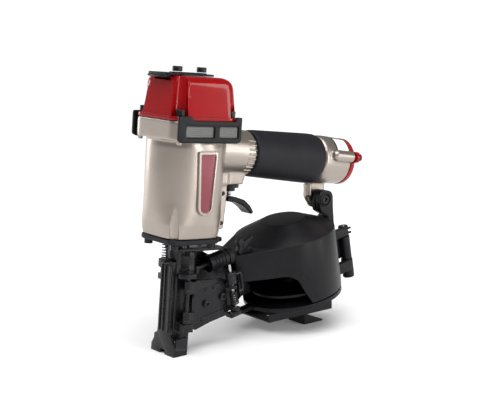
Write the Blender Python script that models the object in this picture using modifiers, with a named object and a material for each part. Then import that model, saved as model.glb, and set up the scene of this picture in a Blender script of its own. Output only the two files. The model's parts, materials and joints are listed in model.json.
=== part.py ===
"""Pneumatic coil nailer: an assembly of separate pieces, standing on its contact foot and magazine foot.

Sizes are in millimetres and become metres in the helpers. The tool frame has its origin at the tip of the
driver's axis, +Z up that axis, +X towards the handle's end and -Y on the operator's left.
"""

import math

import bmesh
import bpy
from mathutils import Matrix, Vector

MM = 0.001
GAP = 0.3

# How the tool stands: it leans back a little on its two feet.
LEAN_DEG = 5.0
STAND_X = -106.5
STAND_Y = 0.0

# Heights up the driver's axis.
FOOT_TOP = 6.0
NOSE_BOTTOM = 17.0
NOSE_TOP = 112.0
BARREL_BOTTOM = 118.0
COLLAR_BOTTOM = 213.0
CAP_BASE = 232.5
CAP_TOP = 274.0
SLEEVE_BOTTOM = 136.3
SLEEVE_TOP = 226.0

# Barrel and cap.
BARREL_R = 37.4
BORE_R = 31.0
COLLAR_X = 38.0
COLLAR_Y = 36.2
CAP_BOLT_XY = 30.0
NOSE_BOLT_XY = 22.0
GUARD_OUTER_Y = 39.6

# Handle: its own frame slopes down to the rear.
HANDLE_X = 77.0
HANDLE_Z = 199.0
HANDLE_SLOPE_DEG = 4.0
HANDLE_TALL = 1.068
GRIP_LENGTH = 92.0
ARM_REAR = 128.0

# Trigger.
TRIGGER_X = 44.0
TRIGGER_Z = 159.0
DIAL_X = 41.0
CHEEK_Y = 8.4

# Canister magazine: its own frame is tilted to suit the slanted nail coil.
CANISTER_X = 153.4
CANISTER_Z = 52.0
CANISTER_TILT_DEG = 15.0
CANISTER_R = 54.0
CANISTER_WALL = 2.2
RIM_W = 66.0
LID_R = 23.5
LID_W = 80.0
SNOUT_U = -80.0
SNOUT_V = 15.0
HINGE_U = 73.0
HINGE_V = -12.0

# Nose, door and latch.
DOOR_HINGE_X = -0.5
DOOR_HINGE_Y = -19.5
DOOR_Y = -16.0
FEED_Z = 88.0

for thing in list(bpy.data.objects):
    bpy.data.objects.remove(thing)
PARTS = bpy.data.collections.new("coil_nailer")
CUTTERS = bpy.data.collections.new("cutters")
bpy.context.scene.collection.children.link(PARTS)
bpy.context.scene.collection.children.link(CUTTERS)


# ---------------------------------------------------------------- frames

def frame(name, parent=None, place=(0, 0, 0), turn_y_deg=0.0):
    """An empty that a group of pieces is placed by."""
    empty = bpy.data.objects.new(name, None)
    PARTS.objects.link(empty)
    empty.parent = parent
    empty.location = Vector(place) * MM
    empty.rotation_euler = (0.0, math.radians(turn_y_deg), 0.0)
    return empty


STAND = frame("stand_frame", None, (STAND_X, STAND_Y, 0))
TOOL = frame("tool_frame", STAND, (0, 0, 0), LEAN_DEG)
HANDLE = frame("handle_frame", TOOL, (HANDLE_X, 0, HANDLE_Z), HANDLE_SLOPE_DEG)
CANISTER = frame("canister_frame", TOOL, (CANISTER_X, 0, CANISTER_Z), -CANISTER_TILT_DEG)


# ---------------------------------------------------------------- materials

def material(name, colour, roughness, metallic=0.0):
    """A Principled BSDF material."""
    made = bpy.data.materials.new(name)
    made.use_nodes = True
    shader = made.node_tree.nodes["Principled BSDF"]
    shader.inputs["Base Color"].default_value = (*colour, 1.0)
    shader.inputs["Roughness"].default_value = roughness
    shader.inputs["Metallic"].default_value = metallic
    made.diffuse_color = (*colour, 1.0)
    return made


SILVER = material("champagne_magnesium", (0.56, 0.50, 0.45), 0.35, 0.9)
RED = material("red_enamel", (0.33, 0.006, 0.008), 0.22)
BLACK = material("black_plastic", (0.018, 0.018, 0.020), 0.5)
RUBBER = material("black_rubber", (0.022, 0.022, 0.025), 0.8)
STEEL = material("blackened_steel", (0.030, 0.030, 0.033), 0.42, 0.6)
BRIGHT = material("bright_steel", (0.55, 0.55, 0.56), 0.28, 1.0)
LABEL = material("maroon_plate", (0.20, 0.03, 0.045), 0.4)
GREY = material("grey_insert", (0.20, 0.20, 0.20), 0.55)
AMBER = material("amber_urethane", (0.55, 0.32, 0.08), 0.5)


# ---------------------------------------------------------------- shapes

def add(mesh, within):
    """A new shape, kept as a hidden cutter until part() makes it a piece."""
    shape = bpy.data.objects.new("shape", mesh)
    CUTTERS.objects.link(shape)
    shape.parent = within
    shape.hide_render = True
    shape.display_type = "WIRE"
    return shape


def from_bmesh(bm, within):
    mesh = bpy.data.meshes.new("shape")
    bm.to_mesh(mesh)
    bm.free()
    return add(mesh, within)


def round_edges(shape, width, segments=2, angle_deg=40.0):
    """Rounds the shape's sharp edges."""
    modifier = shape.modifiers.new("round", "BEVEL")
    modifier.width = width * MM
    modifier.segments = segments
    modifier.limit_method = "ANGLE"
    modifier.angle_limit = math.radians(angle_deg)
    return shape


def box(within, low, high, rounding=0.0, segments=1):
    """A block between two corners."""
    bm = bmesh.new()
    bmesh.ops.create_cube(bm, size=1.0)
    size = Vector(high) - Vector(low)
    middle = (Vector(high) + Vector(low)) / 2
    bmesh.ops.scale(bm, vec=size * MM, verts=bm.verts)
    bmesh.ops.translate(bm, vec=middle * MM, verts=bm.verts)
    shape = from_bmesh(bm, within)
    if rounding:
        round_edges(shape, rounding, segments)
    return shape


def rod(within, start, end, radius, end_radius=None, sides=20):
    """A round bar or cone between two points."""
    start, end = Vector(start), Vector(end)
    along = end - start
    bm = bmesh.new()
    last_radius = radius if end_radius is None else end_radius
    bmesh.ops.create_cone(bm, cap_ends=True, segments=sides, radius1=radius * MM,
                          radius2=last_radius * MM, depth=along.length * MM)
    turn = along.to_track_quat("Z", "Y").to_matrix().to_4x4()
    bmesh.ops.transform(bm, matrix=Matrix.Translation((start + end) / 2 * MM) @ turn, verts=bm.verts)
    return from_bmesh(bm, within)


def welded_mesh(curve_object, within):
    """The curve's solid as a mesh, with its caps joined to its sides."""
    bpy.context.view_layer.update()
    graph = bpy.context.evaluated_depsgraph_get()
    mesh = bpy.data.meshes.new_from_object(curve_object.evaluated_get(graph))
    bpy.data.objects.remove(curve_object)
    bm = bmesh.new()
    bm.from_mesh(mesh)
    bmesh.ops.remove_doubles(bm, verts=bm.verts, dist=1e-6)
    bmesh.ops.dissolve_limit(bm, angle_limit=0.001, verts=bm.verts, edges=bm.edges)
    bmesh.ops.recalc_face_normals(bm, faces=bm.faces)
    return from_bmesh(bm, within)


def curve_object(points, closed, flat):
    curve = bpy.data.curves.new("outline", "CURVE")
    curve.dimensions = "2D" if flat else "3D"
    spline = curve.splines.new("POLY")
    spline.points.add(len(points) - 1)
    for point, place in zip(spline.points, points):
        point.co = (*(Vector(place) * MM), 1.0)
    spline.use_cyclic_u = closed
    made = bpy.data.objects.new("outline", curve)
    CUTTERS.objects.link(made)
    return made


def plate(within, outline, low, high, across="z"):
    """A flat outline made solid between two levels across it.

    The outline is (x, y) across z, (x, z) across y and (y, z) across x.
    """
    shape = curve_object([(a, b, 0.0) for a, b in outline], True, True)
    shape.data.fill_mode = "BOTH"
    shape.data.extrude = (high - low) / 2 * MM
    solid = welded_mesh(shape, within)
    middle = (high + low) / 2 * MM
    if across == "z":
        turn = Matrix.Translation((0, 0, middle))
    elif across == "y":
        turn = Matrix.Translation((0, middle, 0)) @ Matrix.Rotation(math.radians(90), 4, "X")
    else:
        columns = Matrix(((0, 0, 1, 0), (1, 0, 0, 0), (0, 1, 0, 0), (0, 0, 0, 1)))
        turn = Matrix.Translation((middle, 0, 0)) @ columns
    solid.data.transform(turn)
    return solid


def turned(within, profile, centre=(0, 0, 0), axis="z", steps=28, tall=1.0):
    """A turned solid. The profile's (radius, height) points run down its outer side."""
    mesh = bpy.data.meshes.new("profile")
    points = [(radius * MM, 0.0, height * MM) for radius, height in profile]
    closed = profile[0][0] > 0
    edges = [(i, i + 1) for i in range(len(points) - 1)]
    if closed:
        edges.append((len(points) - 1, 0))
    mesh.from_pydata(points, edges, [])
    shape = add(mesh, within)
    screw = shape.modifiers.new("turn", "SCREW")
    screw.steps = steps
    screw.render_steps = steps
    screw.use_merge_vertices = True
    screw.merge_threshold = 0.00001
    shape.location = Vector(centre) * MM
    if axis == "x":
        shape.rotation_euler = (0, math.radians(90), 0)
        shape.scale = (tall, 1.0, 1.0)
    elif axis == "y":
        shape.rotation_euler = (math.radians(-90), 0, 0)
    return shape


def wire(within, points, radius, sides_resolution=1):
    """A round wire through the points."""
    curve = curve_object(points, False, False)
    curve.data.bevel_depth = radius * MM
    curve.data.bevel_resolution = sides_resolution
    curve.data.use_fill_caps = True
    return welded_mesh(curve, within)


def coil_spring(within, bottom, top, radius, wire_radius, turns, points_per_turn=9):
    """A compression spring between two points on its axis."""
    bottom, top = Vector(bottom), Vector(top)
    axis = (top - bottom).normalized()
    side = axis.orthogonal().normalized()
    other = axis.cross(side)
    count = int(turns * points_per_turn)
    points = []
    for i in range(count + 1):
        angle = 2 * math.pi * i / points_per_turn
        around = side * math.cos(angle) + other * math.sin(angle)
        points.append(bottom + (top - bottom) * (i / count) + around * radius)
    return wire(within, points, wire_radius)


def loft(within, sections):
    """A solid through closed sections that have the same number of points."""
    bm = bmesh.new()
    rings = [[bm.verts.new(Vector(p) * MM) for p in section] for section in sections]
    for lower, upper in zip(rings, rings[1:]):
        for i in range(len(lower)):
            j = (i + 1) % len(lower)
            bm.faces.new((lower[i], lower[j], upper[j], upper[i]))
    bm.faces.new(list(reversed(rings[0])))
    bm.faces.new(rings[-1])
    return from_bmesh(bm, within)


def rounded(points, radius, steps=3):
    """The outline with its corners rounded. radius is one number or one per corner."""
    count = len(points)
    radii = [radius] * count if isinstance(radius, (int, float)) else radius
    outline = []
    for i, corner in enumerate(points):
        corner = Vector(corner)
        back = (Vector(points[i - 1]) - corner)
        ahead = (Vector(points[(i + 1) % count]) - corner)
        if radii[i] <= 0:
            outline.append(tuple(corner))
            continue
        half = back.angle(ahead) / 2
        reach = min(radii[i] / math.tan(half), back.length * 0.49, ahead.length * 0.49)
        first = corner + back.normalized() * reach
        last = corner + ahead.normalized() * reach
        for k in range(steps + 1):
            t = k / steps
            outline.append(tuple(first * (1 - t) ** 2 + corner * 2 * t * (1 - t) + last * t ** 2))
    return outline


def rectangle(low_a, high_a, low_b, high_b, radius=0.0, steps=3):
    corners = [(low_a, low_b), (high_a, low_b), (high_a, high_b), (low_a, high_b)]
    return rounded(corners, radius, steps) if radius else corners


def boolean(shape, operand, operation):
    modifier = shape.modifiers.new(operation.lower(), "BOOLEAN")
    modifier.object = operand
    modifier.operation = operation
    modifier.solver = "EXACT"


def join(shape, *others):
    for other in others:
        boolean(shape, other, "UNION")
    return shape


def cut(shape, *others):
    for other in others:
        boolean(shape, other, "DIFFERENCE")
    return shape


def part(name, shape, finish, pivot=None, smooth_deg=35.0):
    """Names a shape as a piece, gives it its material and puts its origin on its pivot."""
    CUTTERS.objects.unlink(shape)
    PARTS.objects.link(shape)
    shape.hide_render = False
    shape.display_type = "TEXTURED"
    shape.name = name
    shape.data.name = name
    shape.data.materials.clear()
    shape.data.materials.append(finish)
    if pivot is not None:
        place = Vector(pivot) * MM
        shape.data.transform(Matrix.Translation(-(shape.matrix_basis.inverted() @ place)))
        shape.location = place
    if len(shape.data.polygons):
        shape.data.shade_smooth()
        shape.data.set_sharp_from_angle(angle=math.radians(smooth_deg))
    return shape


def socket_bolt(name, within, seat, along, head_r, head_h, shank_r, shank_len, steps=10):
    """A socket-head screw: seat is under its head, along points out of the head."""
    socket_r = head_r * 0.5
    socket_h = head_h * 0.45
    profile = [(0, head_h - socket_h), (socket_r, head_h - socket_h), (socket_r, head_h),
               (head_r, head_h), (head_r, 0), (shank_r, 0), (shank_r, -shank_len), (0, -shank_len)]
    shape = turned(within, profile, steps=steps)
    shape.rotation_euler = Vector(along).to_track_quat("Z", "Y").to_euler()
    shape.location = Vector(seat) * MM
    return part(name, shape, STEEL)


# ---------------------------------------------------------------- barrel, cap and handle

def make_body_housing():
    """One casting: collar, barrel, trigger lug, valve column, handle tube and magazine ear."""
    collar = plate(TOOL, rectangle(-COLLAR_X, COLLAR_X, -COLLAR_Y, COLLAR_Y, 12), COLLAR_BOTTOM, CAP_BASE - GAP)
    barrel = turned(TOOL, [(0, 218), (35.6, 218), (35.6, 212.7), (BARREL_R, 207), (37.3, 180), (35.4, 128),
                           (33.0, 120), (31.0, BARREL_BOTTOM), (0, BARREL_BOTTOM)], steps=44)
    foot_flange = plate(TOOL, rectangle(-29, 29, -29, 29, 8), BARREL_BOTTOM, 124.6)
    arm_profile = [(0, -62), (22.6, -62), (21.6, -24), (21.2, -3), (18.3, -3), (21.1, GRIP_LENGTH + 0.5),
                   (23.2, GRIP_LENGTH + 0.5), (24.4, 99), (23.2, ARM_REAR), (0, ARM_REAR)]
    arm = turned(HANDLE, arm_profile[::-1], axis="x", tall=HANDLE_TALL)
    bosses = [rod(HANDLE, (102, 24 * side, 7), (ARM_REAR - 0.4, 24 * side, 7), 6.2, sides=12) for side in (-1, 1)]
    column = loft(TOOL, [[(x, y, 167.8) for x, y in rectangle(46.5, 68.5, -11.5, 11.5, 6, 3)],
                         [(x, y, 206) for x, y in rectangle(46.5, 80, -13.5, 13.5, 6, 3)]])
    web = plate(TOOL, rounded([(30, 168), (48, 168), (50, 178), (50, 214), (30, 214)], 2), -9.6, 9.6, across="y")
    cheeks = [plate(TOOL, rounded([(30, 128), (39, 121.5), (47.5, 123), (49.5, 150), (49.5, 171), (30, 171)], 3),
                    min(side * 5.4, side * CHEEK_Y), max(side * 5.4, side * CHEEK_Y), across="y") for side in (-1, 1)]
    ear = plate(TOOL, rounded([(174, 178), (197, 178), (197, 149), (190, 138.5), (180, 138.5), (171, 150),
                               (169.5, 165), (174, 166)], [1, 1, 6, 6, 6, 6, 1, 1]), 6.2, 12.8, across="y")
    bore = rod(TOOL, (0, 0, 124), (0, 0, 240), BORE_R, sides=40)
    throat = rod(TOOL, (0, 0, 110), (0, 0, 130), 20, sides=32)
    reservoir = turned(HANDLE, [(0, -60), (15, -60), (15, 88), (19, 100), (19, 150), (0, 150)][::-1], axis="x",
                       tall=HANDLE_TALL, steps=24)
    valve_bore = rod(TOOL, (58, 0, 150), (58, 0, 200), 8)
    pivot_hole = rod(TOOL, (TRIGGER_X, -10, TRIGGER_Z), (TRIGGER_X, 10, TRIGGER_Z), 2.4, sides=12)
    lower_hole = rod(TOOL, (TRIGGER_X, -10, 129), (TRIGGER_X, 10, 129), 2.3, sides=12)
    hanger_hole = rod(TOOL, (186, 0, 149), (186, 20, 149), 3.3, sides=12)
    bolt_holes = [rod(TOOL, (sx * CAP_BOLT_XY, sy * CAP_BOLT_XY, 219), (sx * CAP_BOLT_XY, sy * CAP_BOLT_XY, 240),
                      2.5, sides=12) for sx in (-1, 1) for sy in (-1, 1)]
    base_holes = [rod(TOOL, (sx * NOSE_BOLT_XY, sy * NOSE_BOLT_XY, 112), (sx * NOSE_BOLT_XY, sy * NOSE_BOLT_XY, 122.5),
                      2.2, sides=12) for sx in (-1, 1) for sy in (-1, 1)]
    cap_holes = [rod(HANDLE, (114, 26 * side, 7), (150, 26 * side, 7), 2.0, sides=12) for side in (-1, 1)]
    insert_seats = [box(TOOL, (-35, low, 214), (35, high, 231)) for low, high in ((-50, -34.5), (34.5, 50))]
    label_frame = plate(TOOL, label_outline(0), -39.4, -32.5, across="y")
    label_seat = plate(TOOL, label_outline(3.0), -50, -38.1, across="y")
    join(collar, barrel, foot_flange, arm, column, web, ear, label_frame, *cheeks, *bosses)
    cut(collar, bore, throat, reservoir, valve_bore, pivot_hole, lower_hole, hanger_hole, label_seat,
        *bolt_holes, *base_holes, *cap_holes, *insert_seats)
    part("body_housing", collar, SILVER)


def cap_section(level, rear, front, half_y, corner):
    return [(x, y, level) for x, y in rectangle(-front, rear, -half_y, half_y, corner, 3)]


def make_cylinder_cap():
    """A hollow red cap that narrows upwards, with a flute above each bolt."""
    sections = [cap_section(CAP_BASE, 38.0, 38.0, COLLAR_Y, 12), cap_section(237, 37.8, 37.4, 35.6, 12),
                cap_section(250, 36.6, 34.9, 33.4, 11), cap_section(262, 34.2, 32.4, 31.2, 10),
                cap_section(269, 30.6, 31.0, 28.6, 10), cap_section(272.6, 26.0, 30.3, 26.4, 9),
                cap_section(CAP_TOP, 21.0, 29.8, 23.6, 8)]
    shell = loft(TOOL, sections)
    chamber = turned(TOOL, [(0, 263), (20, 263), (29, 256), (29, 225), (0, 225)], steps=32)
    flutes = [rod(TOOL, (sx * 32.0, sy * 31.5, 236.5), (sx * 29.0, sy * 28.0, 282), 8.0, 6.2, sides=16)
              for sx in (-1, 1) for sy in (-1, 1)]
    holes = [rod(TOOL, (sx * CAP_BOLT_XY, sy * CAP_BOLT_XY, 225), (sx * CAP_BOLT_XY, sy * CAP_BOLT_XY, 240), 2.5,
                 sides=12) for sx in (-1, 1) for sy in (-1, 1)]
    port = plate(TOOL, rounded([(-15, 266.8), (15, 266.8), (15.5, 272), (-15.5, 272)], 1.5), -50, -20, across="x")
    passage = box(TOOL, (-24, -9, 256), (-6, 9, 270))
    top_holes = [rod(TOOL, (x, 0, 266), (x, 0, 290), 2.7, sides=12) for x in (-15, 14)]
    cut(shell, chamber, port, passage, *flutes, *holes, *top_holes)
    part("cylinder_cap", shell, RED)


def make_deflector():
    """Thin plate that turns the exhaust away, with a visor over the port."""
    sheet = plate(TOOL, rounded([(-38.5, -14.5), (-36, -17.5), (-25, -17.5), (-17, -12), (20, -11), (24, -8), (24, 8),
                                 (20, 11), (-17, 12), (-25, 17.5), (-36, 17.5), (-38.5, 14.5)], 2), 274.3, 277.0)
    lip = plate(TOOL, [(-40.8, 272.4), (-37.6, 271.4), (-35.5, 275.0), (-37.0, 277.0)], -14, 14, across="y")
    stiffener = plate(TOOL, rectangle(-22, 18, -6, 6, 4), 276.5, 277.6)
    holes = [rod(TOOL, (x, 0, 270), (x, 0, 282), 2.9, sides=12) for x in (-15, 14)]
    part("exhaust_deflector", cut(join(sheet, lip, stiffener), *holes), BLACK)
    for name, x in (("deflector_bolt_front", -15), ("deflector_bolt_rear", 14)):
        socket_bolt(name, TOOL, (x, 0, 277.9), (0, 0, 1), 5.0, 5.0, 2.4, 10.5, steps=16)


def make_cap_bolts():
    corners = {"front_left": (-1, -1), "front_right": (-1, 1), "rear_left": (1, -1), "rear_right": (1, 1)}
    for place, (sx, sy) in corners.items():
        seat = (sx * CAP_BOLT_XY, sy * CAP_BOLT_XY, 236.5 + GAP)
        socket_bolt("cap_bolt_" + place, TOOL, seat, (0, 0, 1), 4.7, 5.8, 2.2, 16.0)
        seat = (sx * NOSE_BOLT_XY, sy * NOSE_BOLT_XY, 112 - GAP)
        socket_bolt("nose_bolt_" + place, TOOL, seat, (0, 0, -1), 4.3, 4.6, 1.9, 9.5)


def make_side_guards():
    """A black guard with two windows each side, over a grey ribbed insert."""
    for side, name in ((-1, "left"), (1, "right")):
        outline = rounded([(-37.5, 214), (-33, 212), (33, 212), (37.5, 214), (37.5, 237.5), (31, 237.5), (30, 232.5),
                           (-20, 232.5), (-24, 237.5), (-37.5, 237.5)],
                          [4, 4, 4, 4, 2, 1, 1, 2, 2, 2])
        low, high = sorted((side * 36.5, side * GUARD_OUTER_Y))
        guard = round_edges(plate(TOOL, outline, low, high, across="y"), 0.8, 1)
        windows = [plate(TOOL, rectangle(a, b, 217, 228, 1.6, 2), -60, 60, across="y") for a, b in ((-28, 5), (11, 33.5))]
        part("side_guard_" + name, cut(guard, *windows), BLACK)
        low, high = sorted((side * 34.8, side * 36.2))
        backing = box(TOOL, (-33, low, 215), (34.7, high, 230))
        pads = []
        for a, b in ((-27.4, 4.4), (11.6, 32.9)):
            low, high = sorted((side * 35.5, side * 38.0))
            pads.append(box(TOOL, (a, low, 217.8), (b, high, 227.2), 1.0))
            for k in range(3):
                low, high = sorted((side * 37.0, side * 38.7))
                level = 218.9 + 3.0 * k
                pads.append(box(TOOL, (a + 1, low, level), (b - 1, high, level + 1.6)))
        part("guard_insert_" + name, join(backing, *pads), GREY)


def label_outline(inset):
    """The name plate's tapered outline, round at its lower end."""
    wide, narrow, top, bottom = 12.0 - inset, 9.3 - inset, 204.5 - inset, 141.5 + inset
    corners = [(-narrow, bottom), (narrow, bottom), (wide, top), (-wide, top)]
    return rounded(corners, [narrow * 0.95, narrow * 0.95, 2.5, 2.5], 5)


def make_name_plate():
    """A plain panel in the raised frame on the barrel's left side."""
    part("name_plate", plate(TOOL, label_outline(3.3), -39.2, -38.1 - GAP, across="y"), LABEL)


def make_grip():
    sleeve = turned(HANDLE, [(18.6, -1), (20.6, -1), (21.6, 0.6), (24.6, 84), (24.3, 88.5), (22.0, GRIP_LENGTH),
                             (21.4, GRIP_LENGTH)][::-1], axis="x", steps=32, tall=HANDLE_TALL)
    part("grip_sleeve", sleeve, RUBBER)


def make_end_cap():
    """The red handle end cap, its bolts, the inlet bush and its dust plug."""
    start = ARM_REAR + GAP
    disc = turned(HANDLE, [(0, start), (23.2, start), (23.2, start + 5), (20.5, start + 7.5), (0, start + 7.5)][::-1],
                  axis="x", tall=HANDLE_TALL)
    ears = [rod(HANDLE, (start + 0.2, 26 * side, 7), (start + 4.6, 26 * side, 7), 6.0, sides=12) for side in (-1, 1)]
    holes = [rod(HANDLE, (start - 5, 26 * side, 7), (start + 9, 26 * side, 7), 2.3, sides=12) for side in (-1, 1)]
    inlet = rod(HANDLE, (start - 5, 0, -3), (start + 9, 0, -3), 9.5)
    seats = [rod(HANDLE, (start + 4.2, 26 * side, 7), (start + 9, 26 * side, 7), 4.8, sides=20) for side in (-1, 1)]
    part("end_cap", cut(join(disc, *ears), inlet, *holes, *seats), RED)
    for name, side in (("end_cap_bolt_left", -1), ("end_cap_bolt_right", 1)):
        socket_bolt(name, HANDLE, (start + 4.2 + GAP, 26 * side, 7), (1, 0, 0), 4.2, 4.6, 1.8, 15)
    bush = turned(HANDLE, [(6.5, start - 10), (9.2, start - 10), (9.2, start + 7.8), (11, start + 7.8),
                           (11, start + 9.6), (6.5, start + 9.6)][::-1], centre=(0, 0, -3), axis="x", steps=24)
    part("air_inlet_bush", bush, STEEL)
    plug = turned(HANDLE, [(0, start - 4), (6.2, start - 4), (6.2, start + 12.2), (5.4, start + 13), (0, start + 13)][::-1],
                  centre=(0, 0, -3), axis="x", steps=24)
    part("inlet_plug", plug, BLACK)


# ---------------------------------------------------------------- the air motor inside

def make_air_motor():
    bumper = turned(TOOL, [(8, 136), (28, 136), (30.5, 133), (30.5, 124.3), (8, 124.3)], steps=32)
    part("piston_bumper", bumper, AMBER)
    sleeve = turned(TOOL, [(25.2, SLEEVE_TOP), (28.6, SLEEVE_TOP), (28.6, SLEEVE_BOTTOM), (25.2, SLEEVE_BOTTOM)], steps=32)
    part("cylinder_sleeve", sleeve, BRIGHT)
    piston = turned(TOOL, [(0, 214), (6, 214), (7, 218), (24.8, 218), (24.8, 213), (23.4, 213), (23.4, 210),
                           (24.8, 210), (24.8, 205), (0, 205)], steps=32)
    part("piston", piston, BRIGHT)
    blade = turned(TOOL, [(0, 204.7), (6, 204.7), (6, 196), (2.9, 190), (2.9, 68), (0, 68)], steps=14)
    part("driver_blade", blade, BRIGHT)
    valve = turned(TOOL, [(10, 238), (28.5, 238), (28.5, SLEEVE_TOP + GAP), (22, SLEEVE_TOP + GAP), (20, 230),
                          (10, 230)], steps=32)
    part("head_valve", valve, BLACK)
    part("head_valve_spring", coil_spring(TOOL, (0, 0, 239.3), (0, 0, 255), 15, 0.9, 3, 12), BRIGHT)


# ---------------------------------------------------------------- trigger

def make_trigger():
    outline = rounded([(37.8, 163), (46, 163), (50, 155.5), (62, 154.8), (73, 151.5), (81, 145.5), (86, 138.5),
                       (83, 136.5), (77, 142), (70, 146.5), (60, 150), (46, 151), (37.8, 153)],
                      [4, 3, 2, 3, 4, 4, 1.5, 1.5, 3, 3, 3, 3, 3], 3)
    lever = round_edges(plate(TOOL, outline, -8.5, 8.5, across="y"), 1.0, 1)
    sides = [box(TOOL, (30, min(side * 4.9, side * 20), 130), (51.2, max(side * 4.9, side * 20), 170)) for side in (-1, 1)]
    hole = rod(TOOL, (TRIGGER_X, -10, TRIGGER_Z), (TRIGGER_X, 10, TRIGGER_Z), 2.4, sides=12)
    part("trigger", cut(lever, hole, *sides), BLACK, pivot=(TRIGGER_X, 0, TRIGGER_Z))
    part("trigger_pin", rod(TOOL, (TRIGGER_X, -9.2, TRIGGER_Z), (TRIGGER_X, 9.2, TRIGGER_Z), 2.0, sides=12), STEEL)
    part("safety_pin", rod(TOOL, (TRIGGER_X, -9.2, 129), (TRIGGER_X, 9.2, 129), 1.9, sides=12), STEEL)
    body = turned(TOOL, [(3.0, 186), (7.6, 186), (7.6, 167.4), (9.7, 167.4), (9.7, 164.4), (6.0, 164.4), (6.0, 160.6), (3.0, 160.6)],
                  centre=(58, 0, 0), steps=24)
    part("trigger_valve_body", body, STEEL)
    stem = turned(TOOL, [(0, 182), (2.6, 182), (2.6, 157), (2.0, 155.9), (0, 155.9)], centre=(58, 0, 0), steps=14)
    part("valve_stem", stem, BRIGHT)


# ---------------------------------------------------------------- nose

def make_bumper_plate():
    slab = round_edges(plate(TOOL, rectangle(-29.5, 29.5, -29.5, 29.5, 9), NOSE_TOP + GAP, BARREL_BOTTOM - GAP), 1, 1)
    hole = rod(TOOL, (0, 0, 100), (0, 0, 130), 9)
    holes = [rod(TOOL, (sx * NOSE_BOLT_XY, sy * NOSE_BOLT_XY, 105), (sx * NOSE_BOLT_XY, sy * NOSE_BOLT_XY, 125), 2.2,
                 sides=12) for sx in (-1, 1) for sy in (-1, 1)]
    part("bumper_plate", cut(slab, hole, *holes), RUBBER)


def make_nosepiece():
    """The steel nose: flange, driver channel, feed wall and the ears of the door's hinge."""
    neck = rod(TOOL, (0, 0, 100), (0, 0, NOSE_TOP), 10)
    flange = plate(TOOL, rectangle(-9.8, 47, -13, 13, 4), 102.6, 105.6)
    column = plate(TOOL, rectangle(-9.6, 11, -10.5, 10.5, 2.5), NOSE_BOTTOM, 104)
    cheek = plate(TOOL, rounded([(8, 22), (66, 34), (79, 37), (79, 68), (60, 86), (30, 100), (8, 104)], 2), 3.5, 9.5, across="y")
    ears = [box(TOOL, (-5.5, -23.5, low), (5.5, -8, low + 7.6), 1.5) for low in (24, 76)]
    shoulder = [rod(TOOL, (4, side * 11, 77), (4, side * 11, 103), 5.0, sides=12) for side in (-1, 1)]
    bracket = box(TOOL, (-7, 6, 70), (3, 24, 76), 1)
    channel = rod(TOOL, (0, 0, 5), (0, 0, 140), 4.0, sides=12)
    mouth = box(TOOL, (0, -2.2, 5), (20, 2.2, 66))
    pin_hole = rod(TOOL, (DOOR_HINGE_X, DOOR_HINGE_Y, 5), (DOOR_HINGE_X, DOOR_HINGE_Y, 140), 2.1, sides=12)
    knob_hole = rod(TOOL, (-2, 19, 60), (-2, 19, 90), 2.2, sides=12)
    join(neck, flange, column, cheek, bracket, *ears, *shoulder)
    part("nosepiece", cut(neck, channel, mouth, pin_hole, knob_hole), STEEL)
    pin = rod(TOOL, (DOOR_HINGE_X, DOOR_HINGE_Y, 24.5), (DOOR_HINGE_X, DOOR_HINGE_Y, 85), 1.8, sides=12)
    part("door_hinge_pin", pin, BRIGHT)
    socket_bolt("arm_guide_screw", TOOL, (-2, 19, 76 + GAP), (0, 0, 1), 4.5, 4.0, 1.9, 10)


def make_contact_arm():
    """The sliding arm with its foot; it rises against its spring when the nose is pressed down."""
    face = plate(TOOL, rounded([(-19.5, -2), (19.5, -2), (19.5, 6), (17, 10), (10, 20), (9.5, 34), (9.5, 83),
                                (15.5, 85), (15.5, 93), (-9.5, 93), (-9.5, 34), (-10, 20), (-17, 10), (-19.5, 6)],
                               [1, 1, 2, 4, 4, 4, 1, 1, 2, 2, 4, 4, 4, 2]), -13.2, -10.0, across="x")
    foot = plate(TOOL, rectangle(-12, 3.5, -19.5, 19.5, 1.5), -2, FOOT_TOP)
    floor = box(STAND, (-40, -40, -20), (40, 40, 0))
    horns = [plate(TOOL, rounded([(-10.6, 3.5), (3.2, 3.5), (3.2, 17), (1.5, 18), (-4, 17), (-10.6, 16)], 0.8, 2),
                   low, low + 3.2, across="y") for low in (-19.2, 16.0)]
    ribs = [box(TOOL, (-14.6, y, 22), (-12.5, y + 2.2, 88), 0.6) for y in (-8.2, 0.6, 6.0)]
    tab = box(TOOL, (-17.6, 0.6, 90.6), (-10.4, 7.8, 93.6), 0.6)
    exit_hole = rod(TOOL, (0, 0, -5), (0, 0, 12), 3.8, sides=12)
    notch = box(TOOL, (-16, -4, -4), (-9, 4, 3.5))
    part("contact_arm", cut(join(face, foot, tab, *horns, *ribs), exit_hole, notch, floor), STEEL)
    part("contact_arm_spring", coil_spring(TOOL, (-14.2, 4.2, 94.6), (-14.2, 4.2, 111.4), 2.8, 0.6, 5, 9), BRIGHT)


def make_link():
    """The rod that carries the contact arm's travel up to the trigger, with its depth dial."""
    route = [(-8, 13, 90), (-8, 17.4, 90), (-6, 19.5, 90), (10, 19.5, 92), (36, 19.5, 103), (40, 19.5, 106.2),
             (41, 17.6, 107.9), (41, 3, 107.9), (41, 0.7, 108.4), (41, 0, 110), (41, 0, 114)]
    rail = wire(TOOL, route, 1.6, 2)
    part("contact_link", join(rail, box(TOOL, (-9.7, 11.2, 86.5), (-6.3, 15, 92.6), 0.5)), BRIGHT)
    rim = turned(TOOL, [(2.0, 113.8), (8.6, 113.8), (9.4, 113.2), (9.4, 110.6), (8.6, 110.0), (2.0, 110.0)],
                 centre=(DIAL_X, 0, 0), steps=24)
    notches = []
    for k in range(12):
        angle = 2 * math.pi * k / 12
        x, y = DIAL_X + 10.2 * math.cos(angle), 10.2 * math.sin(angle)
        notches.append(rod(TOOL, (x, y, 105), (x, y, 120), 1.4, sides=8))
    part("depth_dial", cut(rim, *notches), BLACK, pivot=(DIAL_X, 0, 112.3))


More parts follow.
